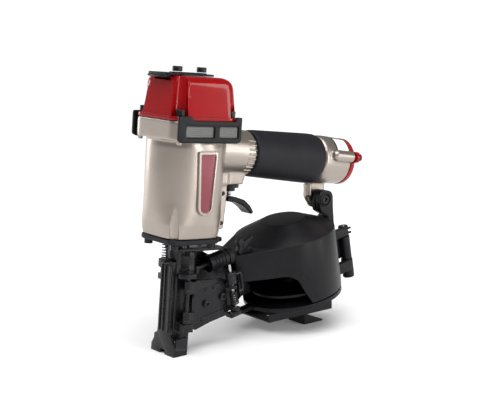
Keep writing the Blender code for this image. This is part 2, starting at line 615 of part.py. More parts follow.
def make_feeder():
    """The air cylinder that advances the nails one step after each shot."""
    slope = math.radians(CANISTER_TILT_DEG)

    def along(distance, lift=0.0):
        return (30 + distance * math.cos(slope) - lift * math.sin(slope), -8,
                FEED_Z + distance * math.sin(slope) + lift * math.cos(slope))

    case = rod(TOOL, along(0), along(29), 8.2, sides=24)
    nose_ring = rod(TOOL, along(0), along(4), 9.0, sides=24)
    end_ring = rod(TOOL, along(25), along(29), 9.0, sides=24)
    bore = rod(TOOL, along(-5), along(26), 5.8, sides=24)
    rib = box(TOOL, (34, -8, 80), (50, 3.2, 92), 1)
    part("feed_cylinder", cut(join(case, nose_ring, end_ring, rib), bore), BLACK)
    head = rod(TOOL, along(1.0), along(6.5), 5.4, sides=24)
    stem = rod(TOOL, along(-13.5), along(2), 2.2, sides=12)
    claw = box(TOOL, (14, -11.5, 46), (18.5, -5, 87), 0.6)
    finger = box(TOOL, (14, -8, 52), (17.5, -1.5, 56), 0.5)
    part("feed_piston", join(head, stem, claw, finger), BRIGHT)
    part("feed_spring", coil_spring(TOOL, along(7.6), along(25.2), 3.9, 0.6, 5, 9), BRIGHT)


def make_door():
    """The feed door with its screws and latch; it swings out on the pin at the nose."""
    outline = rounded([(6.5, 28), (12, 24), (30, 30.5), (53, 36.5), (49, 60), (45, 74), (7, 74)],
                      [2, 3, 3, 3, 4, 3, 3])
    leaf = plate(TOOL, outline, DOOR_Y - 2.0, DOOR_Y + 1.2, across="y")
    band = plate(TOOL, rounded([(8, 56), (50, 67), (48, 73.5), (7.5, 63)], 1), DOOR_Y - 3.2, DOOR_Y, across="y")
    step = plate(TOOL, rounded([(20, 31), (47, 38), (45.5, 43), (19, 36)], 1), DOOR_Y - 3.4, DOOR_Y, across="y")
    knuckles = [rod(TOOL, (DOOR_HINGE_X, DOOR_HINGE_Y, low), (DOOR_HINGE_X, DOOR_HINGE_Y, low + high), 4.0, sides=20)
                for low, high in ((32, 12), (62, 13))]
    straps = [box(TOOL, (-0.5, -22.8, low), (9, -16.2, low + high), 0.8) for low, high in ((32.6, 10.8), (62.6, 11.6))]
    holes = [rod(TOOL, (DOOR_HINGE_X, DOOR_HINGE_Y, 20), (DOOR_HINGE_X, DOOR_HINGE_Y, 90), 2.1, sides=12)]
    holes += [rod(TOOL, (x, -30, z), (x, -5, z), 1.9, sides=12) for x, z in ((24, 50), (44, 56))]
    latch_lug = [plate(TOOL, rounded([(x - 8, DOOR_Y - 1), (x + 3, DOOR_Y - 1), (x + 4, -27), (x + 1, -30.5),
                                      (x - 3, -30.5), (x - 5, -26)], 1.5), low, low + 3.6)
                 for x, low in ((56.5, 42.4), (51, 65))]
    shaft_hole = rod(TOOL, latch_point(-30), latch_point(40), 2.0, sides=12)
    join(leaf, band, step, *knuckles, *straps, *latch_lug)
    part("feed_door", cut(leaf, shaft_hole, *holes), STEEL, pivot=(DOOR_HINGE_X, DOOR_HINGE_Y, 50))
    for name, x, z in (("door_screw_front", 24, 50), ("door_screw_rear", 44, 56)):
        socket_bolt(name, TOOL, (x, DOOR_Y - 2 - GAP, z), (0, -1, 0), 3.2, 2.6, 1.6, 5)


def latch_point(height, beside=0.0):
    """A point on or beside the latch shaft, which is parallel to the canister's axis."""
    slope = math.radians(CANISTER_TILT_DEG)
    return (54 - height * math.sin(slope) + beside * math.cos(slope), -25,
            54 + height * math.cos(slope) + beside * math.sin(slope))


def make_latch():
    shaft = rod(TOOL, latch_point(-14), latch_point(37), 1.7, sides=12)
    part("latch_shaft", join(shaft, rod(TOOL, latch_point(-15), latch_point(-13.9), 4.2, sides=20)), BRIGHT)
    spring = coil_spring(TOOL, latch_point(-5.8), latch_point(8.6), 3.3, 0.6, 5, 9)
    part("latch_spring", spring, BRIGHT)
    roller = rod(TOOL, latch_point(17), latch_point(29), 5.4, sides=24)
    loop = [latch_point(25, 3), latch_point(25, 11.2), latch_point(23.6, 12.6), latch_point(7.4, 12.6),
            latch_point(6, 11.2), latch_point(6, 6.6)]
    lever = wire(TOOL, loop, 1.9, 2)
    hole = rod(TOOL, latch_point(-30), latch_point(45), 2.0, sides=12)
    part("latch_lever", cut(join(roller, lever), hole), STEEL, pivot=latch_point(20))


# ---------------------------------------------------------------- canister magazine

def teardrop(radius, snout_v, front, steps=24):
    """The canister's outline: a circle with a tapered snout towards the nose."""
    first = math.atan2(snout_v, front) - math.acos(radius / math.hypot(snout_v, front))
    points = [(front, snout_v)]
    for k in range(steps + 1):
        angle = first * (1 - 2 * k / steps)
        points.append((radius * math.cos(angle), radius * math.sin(angle)))
    points.append((front, -snout_v))
    return points


def make_magazine():
    wall = CANISTER_WALL
    outer = plate(CANISTER, teardrop(CANISTER_R, SNOUT_V, SNOUT_U), 0, RIM_W)
    lid = turned(CANISTER, [(0, LID_W), (LID_R, LID_W), (CANISTER_R - 0.8, RIM_W - 0.4),
                            (CANISTER_R - 0.8, RIM_W - 1.6), (0, RIM_W - 1.6)], steps=44)
    inner = plate(CANISTER, teardrop(CANISTER_R - wall, SNOUT_V - 9.8, SNOUT_U - 12), -5, RIM_W - wall)
    hollow = turned(CANISTER, [(0, LID_W - wall), (LID_R, LID_W - wall), (CANISTER_R - wall - 0.9, RIM_W - wall),
                               (CANISTER_R - wall - 0.9, 60), (0, 60)], steps=44)
    far_half = box(CANISTER, (-120, 0.6, -10), (90, 70, RIM_W - wall - 0.6))
    side_cut = plate(CANISTER, rounded([(-120, -6), (-14, -6), (-16.5, 2), (-22, 14), (-27, 28), (-35, 34.5),
                                        (-60, 36), (-120, 42)], [0, 0, 3, 8, 6, 8, 4, 0], 4), -70, -2, across="y")
    knuckle_low = rod(CANISTER, (HINGE_U, HINGE_V, -8), (HINGE_U, HINGE_V, 13), 6.5)
    knuckle_high = rod(CANISTER, (HINGE_U, HINGE_V, 40), (HINGE_U, HINGE_V, 51), 5.5)
    arm_low = box(CANISTER, (50.5, -19, 0.6), (HINGE_U, -12.5, 12.6), 1)
    arm_high = box(CANISTER, (50.5, -18, 40.6), (HINGE_U, -12.2, 50.4), 1)
    pin_hole = rod(CANISTER, (HINGE_U, HINGE_V, -20), (HINGE_U, HINGE_V, 80), 2.3, sides=12)
    join(outer, lid)
    cut(outer, inner, hollow, far_half, side_cut)
    join(outer, knuckle_low, knuckle_high, arm_low, arm_high)
    part("magazine_cover", cut(outer, pin_hole), BLACK, pivot=(HINGE_U, HINGE_V, 20))

    tray = turned(CANISTER, [(0, -1.2), (50.6, -1.2), (53.5, -1.2), (53.5, -5.5), (49, -7.5), (0, -7.5)], steps=44)
    wall_outline = plate(CANISTER, teardrop(CANISTER_R, SNOUT_V, SNOUT_U), -1.5, RIM_W - wall - 1.2)
    wall_inner = plate(CANISTER, teardrop(CANISTER_R - wall, SNOUT_V - 9.8, SNOUT_U - 12), -5, RIM_W)
    near_half = box(CANISTER, (-120, -70, -10), (90, 1.2, 90))
    cut(wall_outline, wall_inner, near_half)
    track = box(CANISTER, (-83, 2.4, -5.5), (-40, 13, -1.3), 0.8)
    post = rod(CANISTER, (0, 0, -3), (0, 0, 58), 6.0)
    gap_box = box(CANISTER, (-120, -70, 30), (-76.5, 70, 90))
    part("magazine_base", cut(join(tray, wall_outline, track, post), gap_box), BLACK)
    hub = turned(CANISTER, [(6.4, 22), (9.5, 22), (9.5, 11), (44, 9), (44, 6.5), (6.4, 6.5)], steps=36)
    part("nail_platform", hub, BLACK)


def make_hanger():
    """The black hanger that ties the canister to the handle, with the cover's hinge."""
    outline = rounded([(176.2, 159), (195.8, 159), (198.2, 140), (201.5, 122), (193.3, 122), (190.6, 131.5),
                       (180.6, 136), (176.8, 146)], [9.4, 9.4, 6, 1, 1, 2, 4, 5], 5)
    arm = plate(TOOL, outline, -8, 5.8, across="y")
    strap = box(CANISTER, (56.5, -9, -11), (60.5, 9, 66), 1)
    knuckle = rod(CANISTER, (HINGE_U, HINGE_V, 13.4), (HINGE_U, HINGE_V, 39.6), 6.0)
    wing = box(CANISTER, (58, -9.4, 14.5), (HINGE_U + 3, -6.5, 38.5), 0.8)
    shoe = box(CANISTER, (40, -8, -10.6), (59.6, 8, -7.8), 0.8)
    bolt_hole = rod(TOOL, (186, -20, 149), (186, 20, 149), 3.3, sides=12)
    head_seat = rod(TOOL, (186, -20, 149), (186, -4, 149), 5.8, sides=24)
    pin_hole = rod(CANISTER, (HINGE_U, HINGE_V, -20), (HINGE_U, HINGE_V, 80), 2.3, sides=12)
    join(arm, strap, knuckle, wing, shoe)
    part("magazine_hanger", cut(arm, bolt_hole, head_seat, pin_hole), BLACK)
    socket_bolt("hanger_bolt", TOOL, (186, -4 - GAP, 149), (0, -1, 0), 4.8, 4.0, 3.0, 16, steps=16)
    pin = rod(CANISTER, (HINGE_U, HINGE_V, -9), (HINGE_U, HINGE_V, 52), 2.0, sides=12)
    part("cover_hinge_pin", pin, BRIGHT)


def make_stand():
    """The level bracket under the canister and the foot that the tool rests on."""
    base = box(STAND, (110, -19, 13), (199, 27, 14.6))
    sides = [box(STAND, (110, y, 13), (199, y + 1.6, 21.5)) for y in (-19, 25.4)]
    rear = plate(STAND, [(150, 13), (199, 13), (199, 33), (150, 24.5)], 10, 25, across="y")
    window = box(STAND, (122, -13, 5), (188, 5, 20))
    part("base_bracket", cut(join(base, rear, *sides), window), BLACK)
    foot = plate(STAND, rounded([(140, 12.7), (140, 11.2), (163.5, 11.2), (163.5, 0), (190, 0), (190, 1.5),
                                 (165, 1.5), (165, 12.7)], 0.01, 1), -14, 12, across="y")
    part("rest_foot", foot, BLACK)


def build():
    make_body_housing()
    make_cylinder_cap()
    make_deflector()
    make_cap_bolts()
    make_side_guards()
    make_name_plate()
    make_grip()
    make_end_cap()
    make_air_motor()
    make_trigger()
    make_bumper_plate()
    make_nosepiece()
    make_contact_arm()
    make_link()
    make_feeder()
    make_door()
    make_latch()
    make_magazine()
    make_hanger()
    make_stand()


build()
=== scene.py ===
"""Looks of the pneumatic coil nailer: fine surfaces, materials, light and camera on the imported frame.

Sizes in the shape code are millimetres in the tool's own frames, as in the CAD. The helpers make them metres.
The tool frame has its origin at the tip of the driver's axis, +Z up that axis, +X towards the handle's end
and -Y on the near side. The canister's own axes are called u, v and w.
"""

import json
import math

import bmesh
import bpy
from mathutils import Matrix, Vector

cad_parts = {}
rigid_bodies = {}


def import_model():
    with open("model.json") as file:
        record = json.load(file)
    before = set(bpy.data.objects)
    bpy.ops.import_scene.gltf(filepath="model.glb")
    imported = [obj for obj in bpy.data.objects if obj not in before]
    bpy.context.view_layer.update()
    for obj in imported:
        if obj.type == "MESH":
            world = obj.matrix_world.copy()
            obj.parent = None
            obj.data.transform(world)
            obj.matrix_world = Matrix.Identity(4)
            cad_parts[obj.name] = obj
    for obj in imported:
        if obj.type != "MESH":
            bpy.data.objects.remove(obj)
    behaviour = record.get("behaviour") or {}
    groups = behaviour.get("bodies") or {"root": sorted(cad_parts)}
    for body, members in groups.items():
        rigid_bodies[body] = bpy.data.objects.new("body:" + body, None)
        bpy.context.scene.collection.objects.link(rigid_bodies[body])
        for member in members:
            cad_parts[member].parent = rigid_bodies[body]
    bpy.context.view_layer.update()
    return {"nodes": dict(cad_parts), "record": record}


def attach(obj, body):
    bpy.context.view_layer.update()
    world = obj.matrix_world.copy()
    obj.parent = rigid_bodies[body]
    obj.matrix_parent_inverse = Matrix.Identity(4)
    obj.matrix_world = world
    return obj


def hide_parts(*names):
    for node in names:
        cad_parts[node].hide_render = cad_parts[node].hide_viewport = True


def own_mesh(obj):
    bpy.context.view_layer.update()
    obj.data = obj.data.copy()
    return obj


MM = 0.001
SIDES = ((-1, "left"), (1, "right"))
CORNERS = ((-1, -1), (-1, 1), (1, -1), (1, 1))

# How the tool stands, and where handle and canister sit on it.
STAND_X = -106.5
LEAN_DEG = 5
HANDLE_X = 77
HANDLE_Z = 199
HANDLE_SLOPE_DEG = 4
CANISTER_X = 153.4
CANISTER_Z = 52
CANISTER_TILT_DEG = 15

# Heights up the driver's axis.
NOSE_BOTTOM = 12.4
COLUMN_TOP = 104
BARREL_BOTTOM = 118.3
COLLAR_BOTTOM = 213.2
COLLAR_TOP = 232.2
CAP_BASE = 232.6

# Barrel, cap and guards.
BORE_R = 31.0
COLLAR_X = 38.0
COLLAR_Y = 36.2
CORNER_R = 12
CAP_BOLT_XY = 30
WINDOWS = ((-29, 5.2), (10.4, 34.2))
WINDOW_LOW = 216.7
WINDOW_HIGH = 228.4

# Handle: an oval tube, taller than wide.
HANDLE_TALL = 1.068
RIBS = 30
RIB_RING_R = 20.95
END_START = 128.3
END_BOLT_Y = 26
END_BOLT_Z = 7

# Trigger cheeks.
CHEEK_X = 44
CHEEK_PIN_LEVELS = (129, 159)

# Canister: a round cover with a tapered snout.
CANISTER_R = 54
SNOUT_U = -80
SNOUT_V = 15
SNOUT_DEG = 31
HINGE_U = 73
HINGE_V = -12
HANGER_X = 186
HANGER_Z = 149

# Nose, door and latch.
DOOR_HINGE_X = -0.5
DOOR_HINGE_Y = -19.5
DOOR_SCREWS = (("front", 24, 50), ("rear", 44, 56))
PIN_HOLE_R = 2.1

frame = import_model()
CUTTERS = bpy.data.collections.new("cutters")
bpy.context.scene.collection.children.link(CUTTERS)


def shift(x, y, z):
    return Matrix.Translation((x * MM, y * MM, z * MM))


def turn_y(degrees):
    return Matrix.Rotation(math.radians(degrees), 4, "Y")


def put(name, data):
    """A new object in the scene."""
    made = bpy.data.objects.new(name, data)
    bpy.context.scene.collection.objects.link(made)
    return made


STAND = shift(STAND_X, 0, 0)
TOOL = STAND @ turn_y(LEAN_DEG)
HANDLE = TOOL @ shift(HANDLE_X, 0, HANDLE_Z) @ turn_y(HANDLE_SLOPE_DEG)
CANISTER = TOOL @ shift(CANISTER_X, 0, CANISTER_Z) @ turn_y(-CANISTER_TILT_DEG)


# -------- camera

CAMERA_PLACE = (-0.7449, -0.9071, 0.3530)
CAMERA_TURN_DEG = (79.35, 0.0, -39.12)
CAMERA_LENS_MM = 82.95
CAMERA_SENSOR_MM = 36.0


def make_camera():
    data = bpy.data.cameras.new("camera")
    data.lens = CAMERA_LENS_MM
    data.sensor_width = CAMERA_SENSOR_MM
    camera = put("camera", data)
    camera.location = CAMERA_PLACE
    camera.rotation_euler = [math.radians(angle) for angle in CAMERA_TURN_DEG]
    bpy.context.scene.camera = camera


# -------- materials

BLOTCH = 35.0
EDGE_MM = 0.5


def fill(node, values):
    """Sets a shader node's inputs."""
    for name, value in values.items():
        node.inputs[name].default_value = value
    return node


def object_noise(tree, scale, detail, roughness, stretch=(1, 1, 1)):
    """Noise in object space, which may be stretched along an axis."""
    coords = tree.nodes.new("ShaderNodeTexCoord")
    mapping = fill(tree.nodes.new("ShaderNodeMapping"), {"Scale": stretch})
    noise = fill(tree.nodes.new("ShaderNodeTexNoise"),
                 {"Scale": scale, "Detail": detail, "Roughness": roughness})
    tree.links.new(coords.outputs["Object"], mapping.inputs["Vector"])
    tree.links.new(mapping.outputs["Vector"], noise.inputs["Vector"])
    return noise.outputs["Fac"]


def two_tones(tree, factor, low, high):
    """Blends from one colour to another as the factor rises."""
    node = tree.nodes.new("ShaderNodeValToRGB")
    for element, place, colour in zip(node.color_ramp.elements, (0.35, 0.65), (low, high)):
        element.position = place
        element.color = (*colour, 1.0)
    tree.links.new(factor, node.inputs["Fac"])
    return node.outputs["Color"]


def mapped(tree, value, low, high, from_low=0.0, from_high=1.0):
    """The value moved from one range to another."""
    node = fill(tree.nodes.new("ShaderNodeMapRange"),
                {"From Min": from_low, "From Max": from_high, "To Min": low, "To Max": high})
    tree.links.new(value, node.inputs["Value"])
    return node.outputs["Result"]


def product(tree, first, second):
    """The product of two values, each a number or a socket."""
    node = tree.nodes.new("ShaderNodeMath")
    node.operation = "MULTIPLY"
    for socket, value in zip(node.inputs, (first, second)):
        if isinstance(value, float):
            socket.default_value = value
        else:
            tree.links.new(value, socket)
    return node.outputs["Value"]


def rubbed(tree, base, normal, wear, amount):
    """The base colour with corners worn to another colour, where the softened normal leaves the true one."""
    geometry = tree.nodes.new("ShaderNodeNewGeometry")
    turn = tree.nodes.new("ShaderNodeVectorMath")
    turn.operation = "DOT_PRODUCT"
    tree.links.new(normal, turn.inputs[0])
    tree.links.new(geometry.outputs["Normal"], turn.inputs[1])
    edges = mapped(tree, turn.outputs["Value"], 0.0, 1.0, 0.99, 0.88)
    patchy = product(tree, product(tree, edges, object_noise(tree, 160.0, 3.0, 0.7)), amount)
    mix = tree.nodes.new("ShaderNodeMix")
    mix.data_type = "RGBA"
    fill(mix, {"B": (*wear, 1.0)})
    tree.links.new(patchy, mix.inputs["Factor"])
    tree.links.new(base, mix.inputs["A"])
    return mix.outputs["Result"]


def finish(name, colour, dark, roughness, metallic=0.0, grain=900.0, relief=0.04, uneven=0.08, coat=0.0,
           coat_roughness=0.1, wear=None, wear_amount=0.6, stretch=(1, 1, 1), specular=0.5):
    """A material with uneven colour and roughness, surface grain, soft edges and rubbed corners."""
    made = bpy.data.materials.new(name)
    made.use_nodes = True
    made.diffuse_color = (*colour, 1.0)
    tree = made.node_tree
    shader = fill(tree.nodes["Principled BSDF"],
                  {"Metallic": metallic, "Specular IOR Level": specular, "Coat Weight": coat,
                   "Coat Roughness": coat_roughness})
    bevel = fill(tree.nodes.new("ShaderNodeBevel"), {"Radius": EDGE_MM * MM})
    bevel.samples = 4
    base = two_tones(tree, object_noise(tree, BLOTCH, 5.0, 0.6), dark, colour)
    if wear:
        base = rubbed(tree, base, bevel.outputs["Normal"], wear, wear_amount)
    tree.links.new(base, shader.inputs["Base Color"])
    cloud = object_noise(tree, BLOTCH * 2.2, 6.0, 0.65)
    rough = mapped(tree, cloud, max(0.03, roughness - uneven), roughness + uneven)
    tree.links.new(rough, shader.inputs["Roughness"])
    bump = fill(tree.nodes.new("ShaderNodeBump"), {"Strength": 0.6, "Distance": relief * MM})
    tree.links.new(object_noise(tree, grain, 3.0, 0.6, stretch), bump.inputs["Height"])
    tree.links.new(bevel.outputs["Normal"], bump.inputs["Normal"])
    tree.links.new(bump.outputs["Normal"], shader.inputs["Normal"])
    return made


SILVER = finish("satin_magnesium", (0.375, 0.326, 0.286), (0.355, 0.308, 0.27), 0.33, metallic=0.88, grain=1500,
                relief=0.008, uneven=0.025, coat=0.1, coat_roughness=0.3, wear=(0.60, 0.56, 0.52))
RED = finish("gloss_red_enamel", (0.29, 0.001, 0.003), (0.25, 0.001, 0.002), 0.25, grain=500, relief=0.004,
             uneven=0.012, coat=0.3, coat_roughness=0.05, wear=(0.36, 0.02, 0.03), specular=0.1)
BLACK = finish("grained_black_plastic", (0.0055, 0.0055, 0.007), (0.004, 0.004, 0.005), 0.38, grain=2200,
               wear=(0.06, 0.06, 0.065), specular=0.2)
RUBBER = finish("black_grip_rubber", (0.010, 0.010, 0.013), (0.007, 0.007, 0.010), 0.58, grain=2600,
                relief=0.09, wear=(0.04, 0.04, 0.045), specular=0.22)
STEEL = finish("black_oxide_steel", (0.010, 0.010, 0.012), (0.005, 0.005, 0.006), 0.27, metallic=0.2,
               grain=1300, relief=0.03, uneven=0.1, wear=(0.15, 0.15, 0.155), wear_amount=0.8, specular=0.3)
BRIGHT = finish("ground_steel", (0.50, 0.49, 0.48), (0.36, 0.35, 0.34), 0.30, metallic=1.0, grain=700,
                relief=0.02, stretch=(1, 1, 0.05))
MAROON = finish("maroon_panel", (0.21, 0.020, 0.036), (0.18, 0.014, 0.028), 0.38, grain=1800, relief=0.02,
                coat=0.2)
GREY = finish("grey_ribbed_plastic", (0.17, 0.17, 0.165), (0.13, 0.13, 0.125), 0.5, grain=2000,
              relief=0.05, wear=(0.35, 0.35, 0.34))
AMBER = finish("amber_urethane", (0.50, 0.28, 0.06), (0.42, 0.22, 0.05), 0.45)
PAPER = finish("blank_sticker", (0.80, 0.80, 0.78), (0.76, 0.76, 0.74), 0.45, grain=3000, relief=0.01)

SLOTS = {"champagne_magnesium": SILVER, "red_enamel": RED, "black_plastic": BLACK, "black_rubber": RUBBER,
         "blackened_steel": STEEL, "bright_steel": BRIGHT, "maroon_plate": MAROON, "grey_insert": GREY,
         "amber_urethane": AMBER}
SLOT_OF = {paint.name: slot for slot, paint in SLOTS.items()}
SLOT_OF[PAPER.name] = "maroon_plate"


# -------- shapes

SHARP_DEG = 35.0


def add(mesh, within, local=None):
    """A new shape in a frame; it stays a hidden cutter until piece() takes it."""
    shape = bpy.data.objects.new("shape", mesh)
    CUTTERS.objects.link(shape)
    shape.matrix_world = within @ local if local else within
    return shape


def from_bmesh(bm, within, local=None):
    bmesh.ops.recalc_face_normals(bm, faces=bm.faces)
    mesh = bpy.data.meshes.new("shape")
    bm.to_mesh(mesh)
    bm.free()
    return add(mesh, within, local)


def soft(shape, width, segments=3):
    """Rounds the shape's sharp edges."""
    modifier = shape.modifiers.new("round", "BEVEL")
    modifier.width = width * MM
    modifier.segments = segments
    modifier.limit_method = "ANGLE"
    modifier.angle_limit = math.radians(SHARP_DEG)
    modifier.miter_outer = "MITER_ARC"
    return shape


def box(within, low, high, rounding=0.0):
    bm = bmesh.new()
    bmesh.ops.create_cube(bm, size=1.0)
    bmesh.ops.scale(bm, vec=(Vector(high) - Vector(low)) * MM, verts=bm.verts)
    bmesh.ops.translate(bm, vec=(Vector(high) + Vector(low)) / 2 * MM, verts=bm.verts)
    shape = from_bmesh(bm, within)
    return soft(shape, rounding) if rounding else shape


def add_bar(bm, start, end, radius, end_radius, sides):
    start, end = Vector(start), Vector(end)
    turn = (end - start).to_track_quat("Z", "Y").to_matrix().to_4x4()
    bmesh.ops.create_cone(bm, cap_ends=True, segments=sides, radius1=radius * MM, radius2=end_radius * MM,
                          depth=(end - start).length * MM,
                          matrix=Matrix.Translation((start + end) / 2 * MM) @ turn)


def rod(within, start, end, radius, end_radius=None, sides=40, rounding=0.0):
    """A round bar or cone between two points."""
    bm = bmesh.new()
    add_bar(bm, start, end, radius, radius if end_radius is None else end_radius, sides)
    shape = from_bmesh(bm, within)
    return soft(shape, rounding) if rounding else shape


def upright(x, y, low, high, radius, within=TOOL, sides=40, rounding=0.0):
    """A round bar along Z."""
    return rod(within, (x, y, low), (x, y, high), radius, sides=sides, rounding=rounding)


def crosswise(x, z, low, high, radius):
    """A round bar along Y."""
    return rod(TOOL, (x, low, z), (x, high, z), radius)


def lengthwise(y, z, low, high, radius, sides=40, rounding=0.0):
    """A round bar along the handle."""
    return rod(HANDLE, (low, y, z), (high, y, z), radius, sides=sides, rounding=rounding)


def rods(within, bars, radius, sides):
    """Several separate round bars as one shape."""
    bm = bmesh.new()
    for start, end in bars:
        add_bar(bm, start, end, radius, radius, sides)
    return from_bmesh(bm, within)


def plate(within, outline, low, high, across="z", rounding=0.0):
    """A flat outline made solid between two levels across it.

    The outline is (x, y) across z, (x, z) across y and (y, z) across x.
    """
    order = {"z": lambda a, b, c: (a, b, c),
             "y": lambda a, b, c: (a, c, b),
             "x": lambda a, b, c: (c, a, b)}[across]
    bm = bmesh.new()
    lower = [bm.verts.new(Vector(order(a, b, low)) * MM) for a, b in outline]
    upper = [bm.verts.new(Vector(order(a, b, high)) * MM) for a, b in outline]
    bm.faces.new(lower)
    bm.faces.new(upper)
    for i in range(len(lower)):
        j = (i + 1) % len(lower)
        bm.faces.new((lower[i], lower[j], upper[j], upper[i]))
    shape = from_bmesh(bm, within)
    return soft(shape, rounding) if rounding else shape


def mirrored(side, inner, outer):
    """The low and high Y of what lies between two distances from the middle, on one side."""
    return sorted((side * inner, side * outer))


def side_box(side, start, end, inner, outer, low, high, rounding=0.0):
    """A box on one side of the tool, between two distances from the middle."""
    low_y, high_y = mirrored(side, inner, outer)
    return box(TOOL, (start, low_y, low), (end, high_y, high), rounding)


def turned(within, profile, centre=(0, 0, 0), axis="z", steps=72, tall=1.0):
    """A turned solid from a profile of (radius, height) points, closed on itself or on the axis.

    Tall stretches a solid that lies along x, so that it is higher than wide.
    """
    bm = bmesh.new()
    rings = []
    for radius, height in profile:
        if radius <= 0:
            rings.append([bm.verts.new((0, 0, height * MM))])
            continue
        angles = [2 * math.pi * k / steps for k in range(steps)]
        rings.append([bm.verts.new((radius * math.cos(a) * MM, radius * math.sin(a) * MM, height * MM))
                      for a in angles])
    pairs = list(zip(rings, rings[1:]))
    if profile[0][0] > 0:
        pairs.append((rings[-1], rings[0]))
    for first, second in pairs:
        for k in range(steps):
            following = (k + 1) % steps
            corners = [first[k % len(first)], first[following % len(first)],
                       second[following % len(second)], second[k % len(second)]]
            unique = list(dict.fromkeys(corners))
            if len(unique) > 2:
                bm.faces.new(unique)
    lay = {"z": Matrix(),
           "x": turn_y(90) @ Matrix.Diagonal((tall, 1, 1, 1)),
           "y": Matrix.Rotation(math.radians(-90), 4, "X"),
           "-y": Matrix.Rotation(math.radians(90), 4, "X")}[axis]
    return from_bmesh(bm, within, Matrix.Translation(Vector(centre) * MM) @ lay)


def loft(within, sections):
    """A solid through closed sections that have the same number of points."""
    bm = bmesh.new()
    rings = [[bm.verts.new(Vector(p) * MM) for p in section] for section in sections]
    for lower, upper in zip(rings, rings[1:]):
        for i in range(len(lower)):
            j = (i + 1) % len(lower)
            bm.faces.new((lower[i], lower[j], upper[j], upper[i]))
    bm.faces.new(list(reversed(rings[0])))
    bm.faces.new(rings[-1])
    return from_bmesh(bm, within)


def evaluated(shape):
    """A mesh of the shape as its modifiers leave it."""
    bpy.context.view_layer.update()
    return bpy.data.meshes.new_from_object(shape.evaluated_get(bpy.context.evaluated_depsgraph_get()))


def wire(within, points, radius, resolution=4, smooth_path=False):
    """A round wire through the points."""
    curve = bpy.data.curves.new("wire", "CURVE")
    curve.dimensions = "3D"
    spline = curve.splines.new("NURBS" if smooth_path else "POLY")
    spline.points.add(len(points) - 1)
    for point, place in zip(spline.points, points):
        point.co = (*(Vector(place) * MM), 1.0)
    if smooth_path:
        spline.order_u = 3
        spline.use_endpoint_u = True
        spline.resolution_u = 6
    curve.bevel_depth = radius * MM
    curve.bevel_resolution = resolution
    curve.use_fill_caps = True
    path = bpy.data.objects.new("wire", curve)
    CUTTERS.objects.link(path)
    bm = bmesh.new()
    bm.from_mesh(evaluated(path))
    bpy.data.objects.remove(path)
    bmesh.ops.remove_doubles(bm, verts=bm.verts, dist=1e-6)
    return from_bmesh(bm, within)


def coil(within, bottom, top, radius, wire_radius, turns):
    """A compression spring between two points on its axis, with closer turns at its ends."""
    bottom, top = Vector(bottom), Vector(top)
    axis = (top - bottom).normalized()
    side = axis.orthogonal().normalized()
    other = axis.cross(side)
    count = int(turns * 28)
    points = []
    for i in range(count + 1):
        t = i / count
        angle = 2 * math.pi * turns * t
        climb = t - 0.035 * math.sin(2 * math.pi * t)
        ring = (side * math.cos(angle) + other * math.sin(angle)) * radius
        points.append(bottom + (top - bottom) * climb + ring)
    return wire(within, points, wire_radius, resolution=3)


def rounded(points, radius, steps=6):
    """The outline with its corners rounded. The radius is one number, or one for each corner."""
    radii = [radius] * len(points) if isinstance(radius, (int, float)) else radius
    outline = []
    for i, corner in enumerate(points):
        corner = Vector(corner)
        if radii[i] <= 0:
            outline.append(tuple(corner))
            continue
        back = Vector(points[i - 1]) - corner
        ahead = Vector(points[(i + 1) % len(points)]) - corner
        reach = min(radii[i] / math.tan(back.angle(ahead) / 2), back.length * 0.49, ahead.length * 0.49)
        first = corner + back.normalized() * reach
        last = corner + ahead.normalized() * reach
        for k in range(steps + 1):
            t = k / steps
            outline.append(tuple(first * (1 - t) ** 2 + corner * 2 * t * (1 - t) + last * t ** 2))
    return outline


def rectangle(low_a, high_a, low_b, high_b, radius=0.0, steps=6):
    corners = [(low_a, low_b), (high_a, low_b), (high_a, high_b), (low_a, high_b)]
    return rounded(corners, radius, steps) if radius else corners


def boolean(shape, others, operation):
    for other in others:
        modifier = shape.modifiers.new(operation.lower(), "BOOLEAN")
        modifier.object = other
        modifier.operation = operation
        modifier.solver = "EXACT"
    return shape


def join(shape, *others):
    return boolean(shape, others, "UNION")


def cut(shape, *others):
    return boolean(shape, others, "DIFFERENCE")


def cut_all(shape, *others):
    """Cuts many shapes away in one go."""
    group = bpy.data.collections.new("tools")
    for other in others:
        group.objects.link(other)
    modifier = shape.modifiers.new("cuts", "BOOLEAN")
    modifier.operand_type = "COLLECTION"
    modifier.collection = group
    modifier.operation = "DIFFERENCE"
    modifier.solver = "EXACT"
    return shape


def cast(shape, voxel, rounds, keep):
    """Melts a shape's joints into cast fillets, and then keeps a part of its faces."""
    remesh = shape.modifiers.new("cast", "REMESH")
    remesh.mode = "VOXEL"
    remesh.voxel_size = voxel * MM
    melt = shape.modifiers.new("melt", "SMOOTH")
    melt.factor = 0.5
    melt.iterations = rounds
    thin = shape.modifiers.new("thin", "DECIMATE")
    thin.ratio = keep
    return shape


def piece(name, shape, paint, body="root", replaces=(), smooth_deg=SHARP_DEG):
    """Turns a shape into a finished piece of the object, riding on a body."""
    mesh = evaluated(shape)
    mesh.transform(shape.matrix_world)
    mesh.materials.clear()
    mesh.materials.append(paint)
    mesh.polygons.foreach_set("use_smooth", [True] * len(mesh.polygons))
    mesh.polygons.foreach_set("material_index", [0] * len(mesh.polygons))
    mesh.set_sharp_from_angle(angle=math.radians(smooth_deg))
    made = put(name, mesh)
    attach(made, body)
    if replaces:
        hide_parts(*replaces)
    discard(shape)
    return made


def discard(shape):
    """Removes a shape and everything that was joined to it or cut from it."""
    for modifier in list(shape.modifiers):
        if modifier.type == "BOOLEAN":
            group = modifier.collection if modifier.operand_type == "COLLECTION" else None
            for other in list(group.objects) if group else [modifier.object]:
                discard(other)
            if group:
                bpy.data.collections.remove(group)
    bpy.data.objects.remove(shape)


